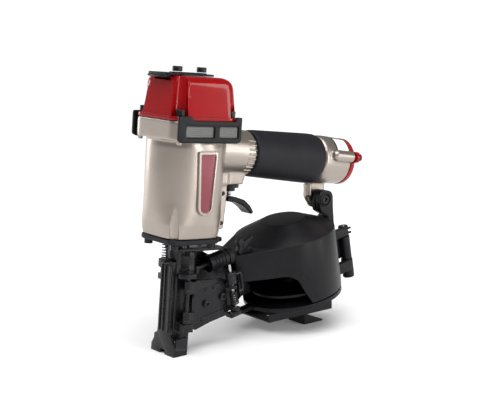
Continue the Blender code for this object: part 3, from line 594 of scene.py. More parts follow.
def super_section(level, half_x, half_y, power):
    """A section between a circle (power 2) and a rounded square."""
    count = 96
    points = []
    for k in range(count):
        angle = 2 * math.pi * k / count
        c, s = math.cos(angle), math.sin(angle)
        x = math.copysign(abs(c) ** (2 / power), c) * half_x
        y = math.copysign(abs(s) ** (2 / power), s) * half_y
        points.append((x, y, level))
    return points


# -------- body

def make_barrel():
    """The barrel: almost square at its foot and nearly round above it. A level ends with its squareness."""
    levels = [(BARREL_BOTTOM, 31.0, 31.0, 4.4), (124, 32.6, 32.6, 3.9), (132, 34.6, 34.6, 3.1),
              (142, 35.7, 35.7, 2.6), (154, 36.3, 36.3, 2.4), (168, 36.9, 36.9, 2.3),
              (182, 37.3, 37.3, 2.25), (207, 37.4, 37.4, 2.25), (210, 37.0, 36.6, 2.3),
              (212.5, 36.6, 35.8, 2.4), (216, 36.6, 35.8, 2.4)]
    return loft(TOOL, [super_section(*level) for level in levels])


def make_handle_tube():
    """The handle's tube, with a waist under the grip and a wider rear end."""
    profile = [(0, -62), (22.6, -62), (21.6, -24), (21.2, -3), (18.3, -3), (21.1, 92.5), (23.2, 92.5),
               (24.2, 97), (24.2, 103), (23.2, 128), (0, 128)]
    return turned(HANDLE, profile, axis="x", steps=96, tall=HANDLE_TALL)


def make_valve_column():
    """The column under the handle's root, which holds the trigger valve."""
    levels = ((168, 68.3, 11.3), (180, 71.5, 11.8), (206, 80, 13.5))
    return loft(TOOL, [[(x, y, level) for x, y in rectangle(46.8, rear, -half_y, half_y, 5)]
                       for level, rear, half_y in levels])


def make_body():
    """The casting, with cast fillets, a flared foot, scalloped corners and a tapered handle root."""
    barrel = make_barrel()
    collar = plate(TOOL, rectangle(-COLLAR_X, COLLAR_X, -COLLAR_Y, COLLAR_Y, CORNER_R, 10), COLLAR_BOTTOM,
                   COLLAR_TOP, rounding=0.8)
    web = plate(TOOL, rounded([(30, 168), (47.5, 168), (49.5, 178), (50, 214), (30, 214)], 2), -9.6, 9.6, "y")
    cheek = rounded([(30, 128), (39, 121.7), (47.3, 123), (49.3, 150), (49.3, 171), (30, 171)], 3)
    outline = rounded([(174, 178), (197, 178), (197, 149), (190, 138.7), (180, 138.7), (171, 150),
                       (169.7, 165), (174, 166)], [1, 1, 6, 6, 6, 6, 1, 1])
    ear = plate(TOOL, outline, 6.4, 12.6, "y")
    ear_rib = plate(TOOL, rounded([(170.5, 178), (173.5, 178), (176, 150), (172.5, 152)], 1), 3.0, 8.0, "y")
    cheeks = [plate(TOOL, cheek, *mirrored(side, 5.5, 8.3), "y") for side in (-1, 1)]
    lugs = [upright(-31.5, side * 32.6, 209.6, 213.8, 2.7) for side in (-1, 1)]
    bosses = [lengthwise(24 * side, END_BOLT_Z, 103, 127.4, 6.1) for side in (-1, 1)]
    noses = [rod(HANDLE, (99.5, 23.4 * side, END_BOLT_Z), (103.5, 24 * side, END_BOLT_Z), 4.2, 6.1)
             for side in (-1, 1)]
    join(barrel, collar, make_handle_tube(), make_valve_column(), web, ear, ear_rib, *cheeks, *lugs, *bosses,
         *noses)
    cast(barrel, voxel=0.9, rounds=9, keep=0.6)

    bore = upright(0, 0, 124, 240, BORE_R, sides=64)
    throat = upright(0, 0, 110, 130, 20)
    valve_bore = upright(58, 0, 150, 190, 8)
    tunnel = turned(HANDLE, [(0, 108), (19, 108), (19, 150), (0, 150)], axis="x", tall=HANDLE_TALL)
    hanger_hole = crosswise(HANGER_X, HANGER_Z, 0, 20, 3.3)
    pins = [crosswise(CHEEK_X, z, -10, 10, 2.3) for z in CHEEK_PIN_LEVELS]
    seats = [side_box(side, -35, 35, 34.5, 50, 214, 231) for side in (-1, 1)]
    scallops = [rod(TOOL, (sx * 27.4, sy * 27.4, 114), (sx * 31, sy * 31, 149), 5.2) for sx, sy in CORNERS]
    bolt_holes = [upright(sx * CAP_BOLT_XY, sy * CAP_BOLT_XY, 225, 240, 2.5) for sx, sy in CORNERS]
    cut_all(barrel, bore, throat, valve_bore, tunnel, hanger_hole, *pins, *seats, *scallops, *bolt_holes)
    piece("body_casting", barrel, SILVER, replaces=["body_housing"], smooth_deg=60)


def handle_point(x, radius, angle):
    """A point around the handle, from its top."""
    return (x, radius * math.sin(angle), radius * HANDLE_TALL * math.cos(angle))


def make_ribs():
    """The fine ribs around the handle's root, all but those on top."""
    angles = [2 * math.pi * (k + 0.5) / RIBS for k in range(RIBS)]
    bars = [[handle_point(x, RIB_RING_R, angle) for x in (-12.5, -3.4)] for angle in angles
            if math.cos(angle) < 0.62]
    piece("handle_ribs", soft(rods(HANDLE, bars, 1.15, 12), 0.25, 2), SILVER)


def label_outline(inset):
    """The side panel's outline: tapered, with a half-round lower end."""
    wide, narrow, top, bottom = 12.0 - inset, 9.3 - inset, 204.5 - inset, 141.5 + inset
    middle = bottom + narrow
    corners = [(-narrow, middle), (narrow, middle), (wide, top), (-wide, top)]
    upper = rounded(corners, [0, 0, 2.4, 2.4], 8)[2:]
    angles = [math.pi * (1 + k / 20) for k in range(21)]
    return [(narrow * math.cos(a), middle + narrow * math.sin(a)) for a in angles] + upper


def make_label():
    """The plain side panel and its raised frame."""
    ring = plate(TOOL, label_outline(0.4), -39.3, -33, "y", rounding=0.7)
    piece("label_frame", cut(ring, plate(TOOL, label_outline(2.9), -50, -37.9, "y")), SILVER)
    panel = plate(TOOL, label_outline(3.4), -38.35, -37.5, "y", rounding=0.25)
    piece("label_panel", panel, MAROON, replaces=["name_plate"])


# -------- cap, deflector, guards

def cap_section(level, rear, front, half_y, corner):
    """A rounded rectangle with points along its straight sides too, so that smooth shading stays even."""
    corner_steps = 10
    side_steps = 16
    outline = [Vector(p) for p in rectangle(-front, rear, -half_y, half_y, corner, corner_steps)]
    points = []
    for i, point in enumerate(outline):
        points.append((point.x, point.y, level))
        if i % (corner_steps + 1) == corner_steps:
            ahead = outline[(i + 1) % len(outline)]
            points += [(*point.lerp(ahead, k / side_steps), level) for k in range(1, side_steps)]
    return points


def closer_levels(levels, gap):
    """Adds levels in between, where two are further apart than the gap."""
    filled = [levels[0]]
    for lower, upper in zip(levels, levels[1:]):
        count = max(1, math.ceil((upper[0] - lower[0]) / gap))
        filled += [tuple(a + (b - a) * k / count for a, b in zip(lower, upper)) for k in range(1, count + 1)]
    return filled


def cap_flutes(side):
    """The flutes above the two bolts on one side, with the narrow hollows beside the front one."""
    bars = [((-32.0, 31.5, 236.5), (-29.4, 28.4, 283), 8.2, 5.6, 64),
            ((-38.4, 26.0, 238.5), (-32.8, 20.5, 279), 3.4, 2.0, 32),
            ((-26.5, 37.8, 238.5), (-21.5, 30.8, 279), 3.0, 1.8, 32),
            ((30.4, 30.4, 236.5), (30.8, 31.0, 248), 6.4, 5.6, 64),
            ((35.6, 34.2, 237.5), (31.8, 30.2, 283), 6.2, 4.2, 64)]
    return [rod(TOOL, (x, side * y, z), (top_x, side * top_y, top_z), radius, top_radius, sides)
            for (x, y, z), (top_x, top_y, top_z), radius, top_radius, sides in bars]


def make_cap():
    """The glossy cap: a base band, drawn-in sides, a flute above each bolt and the exhaust port."""
    band = loft(TOOL, [cap_section(level, COLLAR_X, COLLAR_X, COLLAR_Y, CORNER_R)
                       for level in (CAP_BASE, 236.4)])
    levels = [(233, 37.8, 37.2, 35.4, 12), (237.2, 37.8, 36.8, 35.2, 12), (256, 35.6, 33.9, 32.9, 11.2),
              (262, 34.8, 33.0, 32.2, 10.8), (266.5, 33.8, 32.4, 31.5, 10.4), (269.5, 32.0, 31.8, 30.6, 10),
              (271.5, 29.8, 31.2, 29.5, 9.8), (272.9, 27.2, 30.6, 28.1, 9.4), (273.7, 24.6, 30.0, 26.6, 9),
              (274, 21.6, 29.2, 24.8, 8.5)]
    shell = loft(TOOL, [cap_section(*level) for level in closer_levels(levels, 2.4)])
    port = plate(TOOL, rounded([(-13, 269.4), (13, 269.4), (13, 272), (-13, 272)], 1), -50, -22, "x")
    chamber = upright(0, 0, 225, 262, 29, sides=64)
    join(shell, soft(band, 0.5))
    cut(shell, chamber, port, *cap_flutes(-1), *cap_flutes(1))
    piece("cap_shell", shell, RED, replaces=["cylinder_cap"], smooth_deg=38)


def make_deflector():
    """The thin deflector with its folded visor, and its two screws."""
    half = [(-38.3, -14.5), (-36, -17.3), (-25, -17.3), (-17, -12), (20, -11), (23.8, -8)]
    outline = half + [(x, -y) for x, y in reversed(half)]
    sheet = plate(TOOL, rounded(outline, 2), 274.4, 276.4, rounding=0.5)
    visor = plate(TOOL, [(-40.6, 272.6), (-38.0, 271.6), (-24.5, 273.9), (-24.5, 275.4), (-37.2, 276.2)],
                  -14, 14, "y", rounding=0.5)
    rib = plate(TOOL, rectangle(-22, 18, -6, 6, 4), 276, 277.3, rounding=0.5)
    piece("deflector_plate", join(sheet, visor, rib), BLACK, replaces=["exhaust_deflector"])
    for name, x in (("front", -15), ("rear", 14)):
        knurled_bolt("deflector_screw_" + name, (x, 0, 277.9), 5.0, 5.0, ["deflector_bolt_" + name])


def knurled_bolt(name, seat, radius, height, nodes):
    """A socket head that stands on its seat, knurled around by grooves."""
    x, y, z = seat
    top = z + height
    head = turned(TOOL, [(0, z), (radius - 0.4, z), (radius - 0.1, z + 0.5), (radius - 0.1, top - 0.8),
                         (radius - 0.7, top), (0, top)], (x, y, 0), steps=48)
    groove_ring = radius + 0.18
    bars = []
    for k in range(24):
        angle = 2 * math.pi * k / 24
        place = (x + groove_ring * math.cos(angle), y + groove_ring * math.sin(angle))
        bars.append([(*place, z + 0.6), (*place, top + 1)])
    socket = upright(x, y, z + height * 0.45, top + 2, radius * 0.52, sides=6)
    piece(name, cut(head, socket, rods(TOOL, bars, 0.36, 8)), STEEL, replaces=nodes)


def window(start, end, grow, radius):
    """A guard window's outline, made larger all round, or smaller."""
    return rectangle(start - grow, end + grow, WINDOW_LOW - grow, WINDOW_HIGH + grow, radius)


def make_guard(side, name):
    """One black guard, with a raised lip around each window."""
    outline = rounded([(-37.5, 214), (-33, 212), (33, 212), (37.5, 214), (37.5, 237.3), (31.4, 237.3),
                       (30, 233), (-19, 233), (-23.5, 237.3), (-37.5, 237.3)],
                      [5, 4, 4, 5, 2, 1, 1.5, 2, 2, 2.5], 8)
    guard = plate(TOOL, outline, *mirrored(side, 36.5, 39.6), "y")
    windows = [plate(TOOL, window(start, end, 0, 2.2), -60, 60, "y") for start, end in WINDOWS]
    piece("guard_" + name, soft(cut(guard, *windows), 0.8), BLACK, replaces=["side_guard_" + name])
    for k, (start, end) in enumerate(WINDOWS):
        lip = plate(TOOL, window(start, end, 0.4, 2.4), *mirrored(side, 37.0, 38.6), "y")
        opening = plate(TOOL, window(start, end, -0.7, 1.6), -60, 60, "y")
        piece(f"guard_{name}_lip_{k}", cut(lip, opening), BLACK)


def make_insert(side, name):
    """The grey insert behind one guard: a back, and a ribbed pad in each window."""
    backing = side_box(side, -33.5, 34.7, 34.8, 36.2, 215, 230, 0.3)
    piece("insert_back_" + name, backing, GREY, replaces=["guard_insert_" + name])
    for k, (window_start, window_end) in enumerate(WINDOWS):
        start, end = window_start + 0.4, window_end - 0.4
        piece(f"insert_pad_{name}_{k}", side_box(side, start, end, 36.0, 37.6, 217.2, 228.0, 0.5), GREY)
        for r in range(5):
            level = 218.0 + 1.95 * r
            rib = side_box(side, start + 1.2, end - 1.2, 37.2, 38.4, level, level + 0.95, 0.3)
            piece(f"insert_rib_{name}_{k}_{r}", rib, GREY)


# -------- handle

def make_grip():
    profile = [(18.7, -0.4), (20.4, -0.9), (21.5, -0.4), (22.1, 1.2), (22.5, 6), (24.5, 70), (24.7, 80),
               (24.6, 85), (24.1, 88.6), (23.2, 90.8), (22.0, 91.7), (21.5, 91.8), (21.3, 88)]
    sleeve = turned(HANDLE, profile, axis="x", steps=120, tall=HANDLE_TALL)
    piece("grip", sleeve, RUBBER, replaces=["grip_sleeve"], smooth_deg=60)


def make_end():
    """The red end cap with its two bolts, and the blank sticker in front of it."""
    start = END_START
    profile = [(0, start), (23.0, start), (23.4, start + 0.5), (23.3, start + 4.6), (22.6, start + 5.8),
               (20.8, start + 7.2), (19.4, start + 7.5), (0, start + 7.5)]
    disc = turned(HANDLE, profile, axis="x", steps=96, tall=HANDLE_TALL)
    ears = [lengthwise(END_BOLT_Y * side, END_BOLT_Z, start + 0.2, start + 4.8, 6.0, rounding=0.6)
            for side in (-1, 1)]
    inlet = lengthwise(0, -3, start - 5, start + 9, 9.5)
    piece("end_cap_red", cut(join(disc, *ears), inlet), RED, replaces=["end_cap"])
    seat = start + 4.9
    for side, name in SIDES:
        y = END_BOLT_Y * side
        head = turned(HANDLE, [(0, 0), (3.9, 0), (4.1, 0.4), (4.1, 3.6), (3.6, 4.2), (0, 4.2)],
                      (seat, y, END_BOLT_Z), "x", 40)
        socket = lengthwise(y, END_BOLT_Z, seat + 2, seat + 8, 2.1, sides=6)
        piece("end_bolt_" + name, cut(head, socket), STEEL, replaces=["end_cap_bolt_" + name])
    sticker("sticker_border", -64, -20, 107.5, 126.4, 0.10, BLACK)
    sticker("sticker_face", -62, -22, 108.6, 125.4, 0.22, PAPER)


def sticker(name, low_deg, high_deg, start, end, proud, paint):
    """A thin patch that follows the handle's tapered rear."""
    bm = bmesh.new()
    rows, columns = 8, 20
    grid = []
    for i in range(columns + 1):
        x = start + (end - start) * i / columns
        radius = 24.3 - max(x - 103, 0) * 0.042 + proud
        angles = [math.radians(low_deg + (high_deg - low_deg) * j / rows) for j in range(rows + 1)]
        grid.append([bm.verts.new(Vector(handle_point(x, radius, angle)) * MM) for angle in angles])
    for i in range(columns):
        for j in range(rows):
            bm.faces.new((grid[i][j], grid[i + 1][j], grid[i + 1][j + 1], grid[i][j + 1]))
    patch = from_bmesh(bm, HANDLE)
    thick = patch.modifiers.new("thick", "SOLIDIFY")
    thick.thickness = 0.35 * MM
    thick.offset = 0
    piece(name, patch, paint)


# -------- canister

def teardrop(radius, snout_v, front):
    """The canister's outline: a circle with a tapered snout towards the nose."""
    steps = 72
    first = math.atan2(snout_v, front) - math.acos(radius / math.hypot(snout_v, front))
    angles = [first * (1 - 2 * k / steps) for k in range(steps + 1)]
    circle = [(radius * math.cos(angle), radius * math.sin(angle)) for angle in angles]
    return [(front, snout_v), *circle, (front, -snout_v)]


def arc(radius, level, low_deg, high_deg, steps):
    """Points on a circle around the canister's axis."""
    angles = [math.radians(low_deg + (high_deg - low_deg) * k / steps) for k in range(steps + 1)]
    return [(radius * math.cos(angle), radius * math.sin(angle), level) for angle in angles]


def wall_point(u, w):
    """A point on the canister's near wall."""
    slope = math.radians(SNOUT_DEG)
    if u >= -CANISTER_R * math.sin(slope):
        v = math.sqrt(max((CANISTER_R - 0.05) ** 2 - u ** 2, 0))
    else:
        v = SNOUT_V + (u - SNOUT_U) * math.tan(slope)
    return (u, -v, w)


def hinge_hole():
    return upright(HINGE_U, HINGE_V, -20, 80, 2.3, CANISTER)


def make_cover():
    """The canister's swinging cover: lid, rim, near wall with its cut-out, hinge knuckles and prongs."""
    cover = plate(CANISTER, teardrop(CANISTER_R, SNOUT_V, SNOUT_U), 0.2, 66, rounding=1.0)
    lid = turned(CANISTER, [(0, 80), (22.9, 80), (23.6, 79.8), (24.2, 79.4), (38, 73.4), (51.0, 67.4),
                            (53.2, 66.2), (53.2, 64.4), (0, 64.4)], steps=128)
    inner = plate(CANISTER, teardrop(51.8, 5.2, -92), -5, 63.8)
    hollow = turned(CANISTER, [(0, 77.8), (23.5, 77.8), (50.9, 63.8), (50.9, 60), (0, 60)], steps=96)
    far_half = box(CANISTER, (-120, 0.6, -10), (90, 70, 63.2))
    opening = rounded([(-120, -6), (-14, -6), (-16.5, 2), (-22, 14), (-27, 28), (-35, 34.5), (-60, 36),
                       (-120, 42)], [0, 0, 3, 8, 8, 9, 4, 0], 8)
    side_cut = plate(CANISTER, opening, -70, -2, "y")
    low = [upright(HINGE_U, HINGE_V, -8, 13, 6.5, CANISTER, rounding=0.8),
           box(CANISTER, (50.5, -19, 0.6), (HINGE_U, -12.5, 12.6), 1)]
    high = [upright(HINGE_U, HINGE_V, 40, 51, 5.5, CANISTER, rounding=0.8),
            box(CANISTER, (50.5, -18, 40.6), (HINGE_U, -12.2, 50.4), 1)]
    prongs = [rod(CANISTER, (66, -14.5, w), (79, -17.5, w + 0.6), 1.5, 1.2, rounding=0.4) for w in (42.6, 47.6)]
    join(cover, lid)
    cut(cover, inner, hollow, far_half, side_cut)
    join(cover, *low, *high, *prongs)
    cut(cover, hinge_hole())
    piece("canister_cover", cover, BLACK, "cover", ["magazine_cover"], 20)


def make_cover_lines():
    """The fine raised lines on the cover: along its rim, around the pocket and along the skirt."""
    piece("cover_rim_line", wire(CANISTER, arc(53.5, 65.9, -139, 139, 90), 0.45), BLACK, "cover")
    dot = turned(CANISTER, [(0, 80.05), (0.9, 80.0), (0.7, 80.4), (0, 80.5)], steps=24)
    piece("cover_gate_dot", dot, BLACK, "cover")
    pocket = ((-44, 54), (-44, 46), (-43.5, 42.2), (-41.5, 40.4), (-36, 40), (-30, 39.6), (-24.5, 38),
              (-20.5, 34), (-17.5, 27), (-13.5, 15), (-10.5, 6), (-9.0, 1.5))
    path = [wall_point(u, w) for u, w in pocket]
    piece("cover_pocket_line", wire(CANISTER, path, 0.4, smooth_path=True), BLACK, "cover")
    piece("cover_skirt_line", wire(CANISTER, arc(53.2, 1.4, -100, -2, 50), 0.6), BLACK, "cover")


def make_hanger():
    """The black arm between canister and handle, with its groove, knuckle and the bolt's raised ring."""
    outline = rounded([(176.2, 159), (195.8, 159), (198.2, 140), (201.5, 122), (193.3, 122), (190.6, 131.5),
                       (180.6, 136), (176.8, 146)], [9.4, 9.4, 6, 1, 1, 2, 4, 5], 10)
    arm = plate(TOOL, outline, -8, 5.8, "y", rounding=0.7)
    strap = box(CANISTER, (56.5, -9, -11), (60.5, 9, 66), 1)
    knuckle = upright(HINGE_U, HINGE_V, 13.4, 39.6, 6.0, CANISTER, rounding=0.7)
    wing = box(CANISTER, (58, -9.4, 14.5), (76, -6.5, 38.5), 0.8)
    shoe = box(CANISTER, (40, -8, -10.6), (59.6, 8, -7.8), 0.8)
    seat = crosswise(HANGER_X, HANGER_Z, -20, -4, 5.9)
    front = ((176.0, 151.5), (177.0, 146), (180.6, 136.2), (185, 134.2))
    groove = wire(TOOL, [(x, -1.2, z) for x, z in front], 1.5)
    bolt_hole = crosswise(HANGER_X, HANGER_Z, -20, 20, 3.3)
    join(arm, strap, knuckle, wing, shoe)
    cut(arm, seat, groove, bolt_hole, hinge_hole())
    piece("hanger_arm", arm, BLACK, replaces=["magazine_hanger"])
    ring = turned(TOOL, [(6.1, -8.9), (7.0, -9.3), (8.0, -8.9), (8.3, -7.7), (6.1, -7.7)],
                  (HANGER_X, 0, HANGER_Z), "y", 64)
    piece("hanger_ring", ring, BLACK)


# -------- springs

FEED_SLOPE_DEG = 15


def feeder_point(distance):
    """A point on the feed cylinder's axis."""
    slope = math.radians(FEED_SLOPE_DEG)
    return Vector((30 + distance * math.cos(slope), -8, 88 + distance * math.sin(slope)))


def latch_point(height, beside=0.0):
    """A point on or beside the latch shaft, which is parallel to the canister's axis."""
    slope = math.radians(CANISTER_TILT_DEG)
    return Vector((54 - height * math.sin(slope) + beside * math.cos(slope), -25,
                   54 + height * math.cos(slope) + beside * math.sin(slope)))


def moving_spring(name, node, moving, fixed, radius, wire_radius, turns, paint):
    """A spring coiled from its moving end to its fixed end, with a mesh of its own."""
    moving, fixed = Vector(moving), Vector(fixed)
    made = piece(name, coil(TOOL, moving, fixed, radius, wire_radius, turns), paint, replaces=[node])
    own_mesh(made)


def make_springs():
    """The springs, coiled finely."""
    moving_spring("arm_spring_coil", "contact_arm_spring", (-14.2, 4.2, 94.8),
                  (-14.2, 4.2, 111.2), 2.8, 0.55, 7, STEEL)
    moving_spring("valve_spring_coil", "head_valve_spring", (0, 0, 239.4), (0, 0, 254.8), 15,
                  0.9, 4, BRIGHT)
    moving_spring("feed_spring_coil", "feed_spring", feeder_point(7.8), feeder_point(25.0), 3.9,
                  0.5, 6, STEEL)
    latch_spring = coil(TOOL, latch_point(-5.4), latch_point(8.2), 3.8, 0.7, 7)
    piece("latch_spring_coil", latch_spring, STEEL, replaces=["latch_spring"])


# -------- nose and feeder

def make_nose():
    """The steel nose: driver channel, flange, round shoulders, feed wall and the ears of the door's hinge."""
    neck = upright(0, 0, 100, 111.9, 10)
    flange = plate(TOOL, rectangle(-9.8, 47, -13, 13, 4), 102.6, 105.6)
    column = plate(TOOL, rectangle(-9.6, 11, -10.5, 10.5, 2.5), NOSE_BOTTOM, COLUMN_TOP)
    cheek = plate(TOOL, rounded([(8, 22), (66, 34), (79, 37), (79, 68), (60, 86), (30, 100), (8, 104)], 2), 3.5,
                  9.5, "y")
    foot_ear = box(TOOL, (-5.5, -23.5, 24), (5.5, -8, 31.6))
    top_ear = plate(TOOL, rounded([(-9.5, -9), (-9.5, -19), (-4, -24), (5, -24), (12.5, -20), (12.5, -9)], 3),
                    77.6, 82.0)
    shoulders = [upright(4, -9, 81, 103, 8.4), upright(4, 11, 77, 103, 5.0)]
    bands = [upright(4, -9, low, low + 2.2, 9.0) for low in (84.5, 97.5)]
    bracket = box(TOOL, (-7, 6, 70), (3, 24, 76))
    channel = upright(0, 0, 5, 140, 4.0)
    mouth = box(TOOL, (0, -2.2, 5), (20, 2.2, 66))
    pin_hole = upright(DOOR_HINGE_X, DOOR_HINGE_Y, 5, 140, PIN_HOLE_R)
    knob_hole = upright(-2, 19, 60, 90, 2.2)
    join(column, neck, flange, cheek, bracket, foot_ear, top_ear, *shoulders, *bands)
    cut(column, channel, mouth, pin_hole, knob_hole)
    piece("nose_frame", soft(column, 0.5), STEEL, replaces=["nosepiece"])


def make_contact_arm():
    """The sliding arm: a grooved front plate that flares into the forked foot."""
    outline = rounded([(-19.5, -2), (19.5, -2), (19.5, 6), (17, 10), (10.5, 20), (9.5, 34), (9.5, 83),
                       (15.5, 85), (15.5, 93), (-9.5, 93), (-9.5, 34), (-10.5, 20), (-17, 10), (-19.5, 6)],
                      [1, 1, 2, 4, 6, 4, 1, 1, 2, 2, 4, 6, 4, 2])
    face = plate(TOOL, outline, -13.2, -10.0, "x")
    foot = plate(TOOL, rectangle(-12, 3.5, -19.5, 19.5, 1.5), -2, 6.0)
    floor = box(STAND, (-40, -40, -20), (40, 40, 0.02))
    horn = rounded([(-10.6, 3.5), (3.2, 3.5), (3.2, 17), (1.5, 18), (-4, 17), (-10.6, 16)], 1.2)
    horns = [plate(TOOL, horn, low, low + 3.2, "y") for low in (-19.2, 16.0)]
    ribs = [box(TOOL, (-14.6, y, 22), (-12.5, y + 2.2, 88)) for y in (-8.2, 0.6, 6.0)]
    tab = box(TOOL, (-17.6, 0.6, 90.6), (-10.4, 7.8, 93.6))
    exit_hole = upright(0, 0, -5, 12, 3.8)
    notch = box(TOOL, (-16, -4, -4), (-9, 4, 3.5))
    arm = cut(join(face, foot, tab, *horns, *ribs), exit_hole, notch, floor)
    piece("contact_foot_arm", soft(arm, 0.45), STEEL, "contact", ["contact_arm"])


def hinge_knuckle(low, high):
    """A door knuckle around the hinge pin, with a groove around it."""
    profile = [(0, low), (3.6, low), (4.0, low + 0.5), (4.0, low + 3), (3.6, low + 3.3), (3.6, low + 4),
               (4.0, low + 4.3), (4.0, high - 0.5), (3.6, high), (0, high)]
    return turned(TOOL, profile, (DOOR_HINGE_X, DOOR_HINGE_Y, 0), steps=40)


def make_door():
    """The feed door with its raised bands, hinge knuckles and latch lugs, and its two screws."""
    outline = rounded([(6.5, 28), (12, 24), (30, 30.5), (53, 36.5), (49, 60), (45, 74), (7, 74)],
                      [2, 3, 3, 3, 4, 3, 3])
    leaf = plate(TOOL, outline, -18.0, -14.8, "y")
    band = plate(TOOL, rounded([(8, 56.5), (49.5, 67.2), (48, 73.2), (7.5, 62.6)], 1), -19.1, -16, "y")
    step = plate(TOOL, rounded([(20, 31), (47, 38), (45.5, 43), (19, 36)], 1), -19.2, -16, "y")
    tabs = [plate(TOOL, rounded([(x, z), (x + 7, z + 1.8), (x + 6.6, z + 6), (x - 0.4, z + 4.2)], 0.8),
                  -20.2, -17, "y") for x, z in ((21, 61.5), (31, 64.2))]
    knuckles = [hinge_knuckle(32, 44), hinge_knuckle(62, 75)]
    straps = [box(TOOL, (-0.5, -22.8, low), (9, -16.2, high)) for low, high in ((32.6, 43.4), (62.6, 74.2))]
    lug = [(-8, -17), (3, -17), (4, -27), (1, -30.5), (-3, -30.5), (-5, -26)]
    lugs = [plate(TOOL, rounded([(centre + x, y) for x, y in lug], 1.5), low, low + 3.6)
            for centre, low in ((56.5, 42.4), (51, 65))]
    shaft_hole = rod(TOOL, latch_point(-30), latch_point(40), 2.0)
    pin_hole = upright(DOOR_HINGE_X, DOOR_HINGE_Y, 20, 90, PIN_HOLE_R)
    screw_holes = [crosswise(x, z, -30, -5, 1.9) for _, x, z in DOOR_SCREWS]
    join(leaf, band, step, *tabs, *knuckles, *straps, *lugs)
    cut(leaf, shaft_hole, pin_hole, *screw_holes)
    piece("door_leaf", soft(leaf, 0.4), STEEL, "door", ["feed_door"])
    for name, x, z in DOOR_SCREWS:
        screw_head("door_cap_screw_" + name, (x, -18.02, z), 3.9, 3.0, ["door_screw_" + name], "door")


def screw_head(name, seat, radius, height, nodes, body):
    """A socket screw head facing the near side."""
    x, y, z = seat
    head = turned(TOOL, [(0, 0), (radius, 0), (radius, height - 0.6), (radius - 0.6, height), (0, height)],
                  seat, "-y", 40)
    socket = rod(TOOL, (x, y - height * 0.4, z), (x, y - height - 2, z), radius * 0.5, sides=6)
    piece(name, cut(head, socket), STEEL, body, nodes)


def make_latch():
    """The latch shaft with its end cap, and the lever: a ribbed roller with a square loop."""
    shaft = rod(TOOL, latch_point(-12.4), latch_point(37), 1.65, sides=24)
    piece("latch_rod", shaft, BRIGHT, "door", ["latch_shaft"])
    cap_frame = TOOL @ shift(*latch_point(-17)) @ turn_y(-CANISTER_TILT_DEG)
    cap = turned(cap_frame, [(0, 0), (3.0, 0.2), (4.8, 1.1), (5.6, 2.6), (5.6, 4.6), (0, 4.6)], steps=40)
    piece("latch_rod_cap", cap, STEEL, "door")
    roller = rod(TOOL, latch_point(17.1), latch_point(28.9), 5.4)
    rings = [rod(TOOL, latch_point(h), latch_point(h + 1.6), 5.7) for h in (17.3, 22.2, 27.1)]
    loop_path = ((25, 3), (25, 11.0), (23.6, 12.4), (7.4, 12.4), (6, 11.0), (6, 6.6))
    loop = wire(TOOL, [latch_point(height, beside) for height, beside in loop_path], 1.85, resolution=5)
    lever = join(roller, loop, *rings)
    cut(lever, rod(TOOL, latch_point(-30), latch_point(45), 2.0))
    piece("latch_roller", soft(lever, 0.3, 2), STEEL, "latch", ["latch_lever"])


def make_feed_cylinder():
    """The feeder's air cylinder with cooling rings between two end rings."""
    case = rod(TOOL, feeder_point(0), feeder_point(29), 8.0, sides=56)
    end_rings = [(0, 3.6, 9.0), (23.6, 5.4, 9.0)]
    cooling_rings = [(start, 1.6, 8.7) for start in (6.2, 10.2, 14.2, 18.2)]
    rings = [rod(TOOL, feeder_point(start), feeder_point(start + width), radius, sides=56)
             for start, width, radius in sorted(end_rings + cooling_rings)]
    rib = box(TOOL, (34, -8, 80), (50, 3.2, 92))
    bore = rod(TOOL, feeder_point(-5), feeder_point(26), 5.8, sides=48)
    cylinder = cut(join(case, rib, *rings), bore)
    piece("feed_cylinder_case", soft(cylinder, 0.4, 2), BLACK, replaces=["feed_cylinder"])


def make_catch():
    """The hooked catch on the cover's front end, and the small guide behind the latch."""
    outline = rounded([(-73, 64.5), (-58, 64.5), (-56.5, 68.5), (-62.5, 71.5), (-53.5, 77), (-55, 81),
                       (-65.5, 77.5), (-69.5, 82.5), (-74, 80), (-72.5, 74), (-75, 69.5)], 1.0)
    hook = plate(CANISTER, outline, -16.5, -10.5, "y")
    boss = rod(CANISTER, (-66, -17.5, 73.4), (-66, -9.5, 73.4), 3.2)
    piece("cover_catch", soft(join(hook, boss), 0.5), BLACK, "cover")
    guide = plate(CANISTER, [(-66.5, 13.3), (-52, 13.3), (-52, 22), (-58, 30), (-66.5, 30)], 4.2, 6.2, "y", 0.4)
    piece("track_guide", guide, BLACK)


def dress_frame():
    """Gives every carried-over CAD node its material."""
    for row in frame["record"]["subparts"]:
        node = frame["nodes"][row["node"]]
        node.data.materials.clear()
        node.data.materials.append(SLOTS[row["material_slot"]])


# -------- stage and light

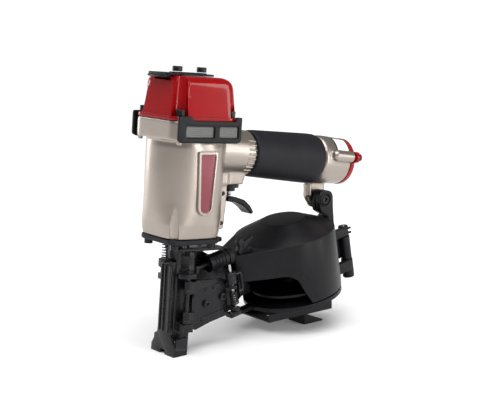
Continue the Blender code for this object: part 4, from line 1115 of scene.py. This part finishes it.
FLOOR_HALF_M = 60.0
WORLD_STRENGTH = 0.22
SKY_STRENGTH = 2.85
SKY_ANGLE_DEG = 60
SKY_TURN_DEG = (12, -14, 0)
AIM = (0.0, 0.0, 0.15)
SOFTBOXES = (("front_softbox", (0.30, -1.70, 0.55), 0.30, 1.10, 12),
             ("side_softbox", (1.15, -1.30, 0.50), 0.24, 1.00, 7),
             ("rim_softbox", (-0.50, 1.60, 0.60), 0.40, 1.10, 10))


def make_stage():
    """A pale matt floor."""
    mesh = bpy.data.meshes.new("floor")
    bm = bmesh.new()
    bmesh.ops.create_grid(bm, x_segments=1, y_segments=1, size=FLOOR_HALF_M)
    bm.to_mesh(mesh)
    bm.free()
    paint = bpy.data.materials.new("pale_floor")
    paint.use_nodes = True
    fill(paint.node_tree.nodes["Principled BSDF"],
         {"Base Color": (0.96, 0.96, 0.96, 1.0), "Roughness": 1.0, "Specular IOR Level": 0.0})
    mesh.materials.append(paint)
    put("floor", mesh)


def softbox(name, place, width, height, power):
    """An upright area light that faces the tool."""
    light = bpy.data.lights.new(name, "AREA")
    light.energy = power
    light.shape = "RECTANGLE"
    light.size = width
    light.size_y = height
    lamp = put(name, light)
    lamp.location = place
    lamp.rotation_euler = (Vector(AIM) - Vector(place)).to_track_quat("-Z", "Y").to_euler()


def make_light():
    """An even white surround, a broad sky light and three softboxes."""
    bpy.context.scene.view_settings.view_transform = "Standard"
    world = bpy.data.worlds.new("studio")
    bpy.context.scene.world = world
    world.use_nodes = True
    fill(world.node_tree.nodes["Background"], {"Color": (1.0, 1.0, 1.0, 1.0), "Strength": WORLD_STRENGTH})
    sun = bpy.data.lights.new("sky", "SUN")
    sun.energy = SKY_STRENGTH
    sun.angle = math.radians(SKY_ANGLE_DEG)
    put("sky", sun).rotation_euler = [math.radians(angle) for angle in SKY_TURN_DEG]
    for values in SOFTBOXES:
        softbox(*values)


make_camera()
make_light()
make_stage()
dress_frame()
make_body()
make_ribs()
make_label()
make_cap()
make_deflector()
for side, name in SIDES:
    make_guard(side, name)
    make_insert(side, name)
make_grip()
make_end()
make_cover()
make_cover_lines()
make_hanger()
make_springs()
make_nose()
make_contact_arm()
make_door()
make_latch()
make_feed_cylinder()
make_catch()
bpy.data.collections.remove(CUTTERS)
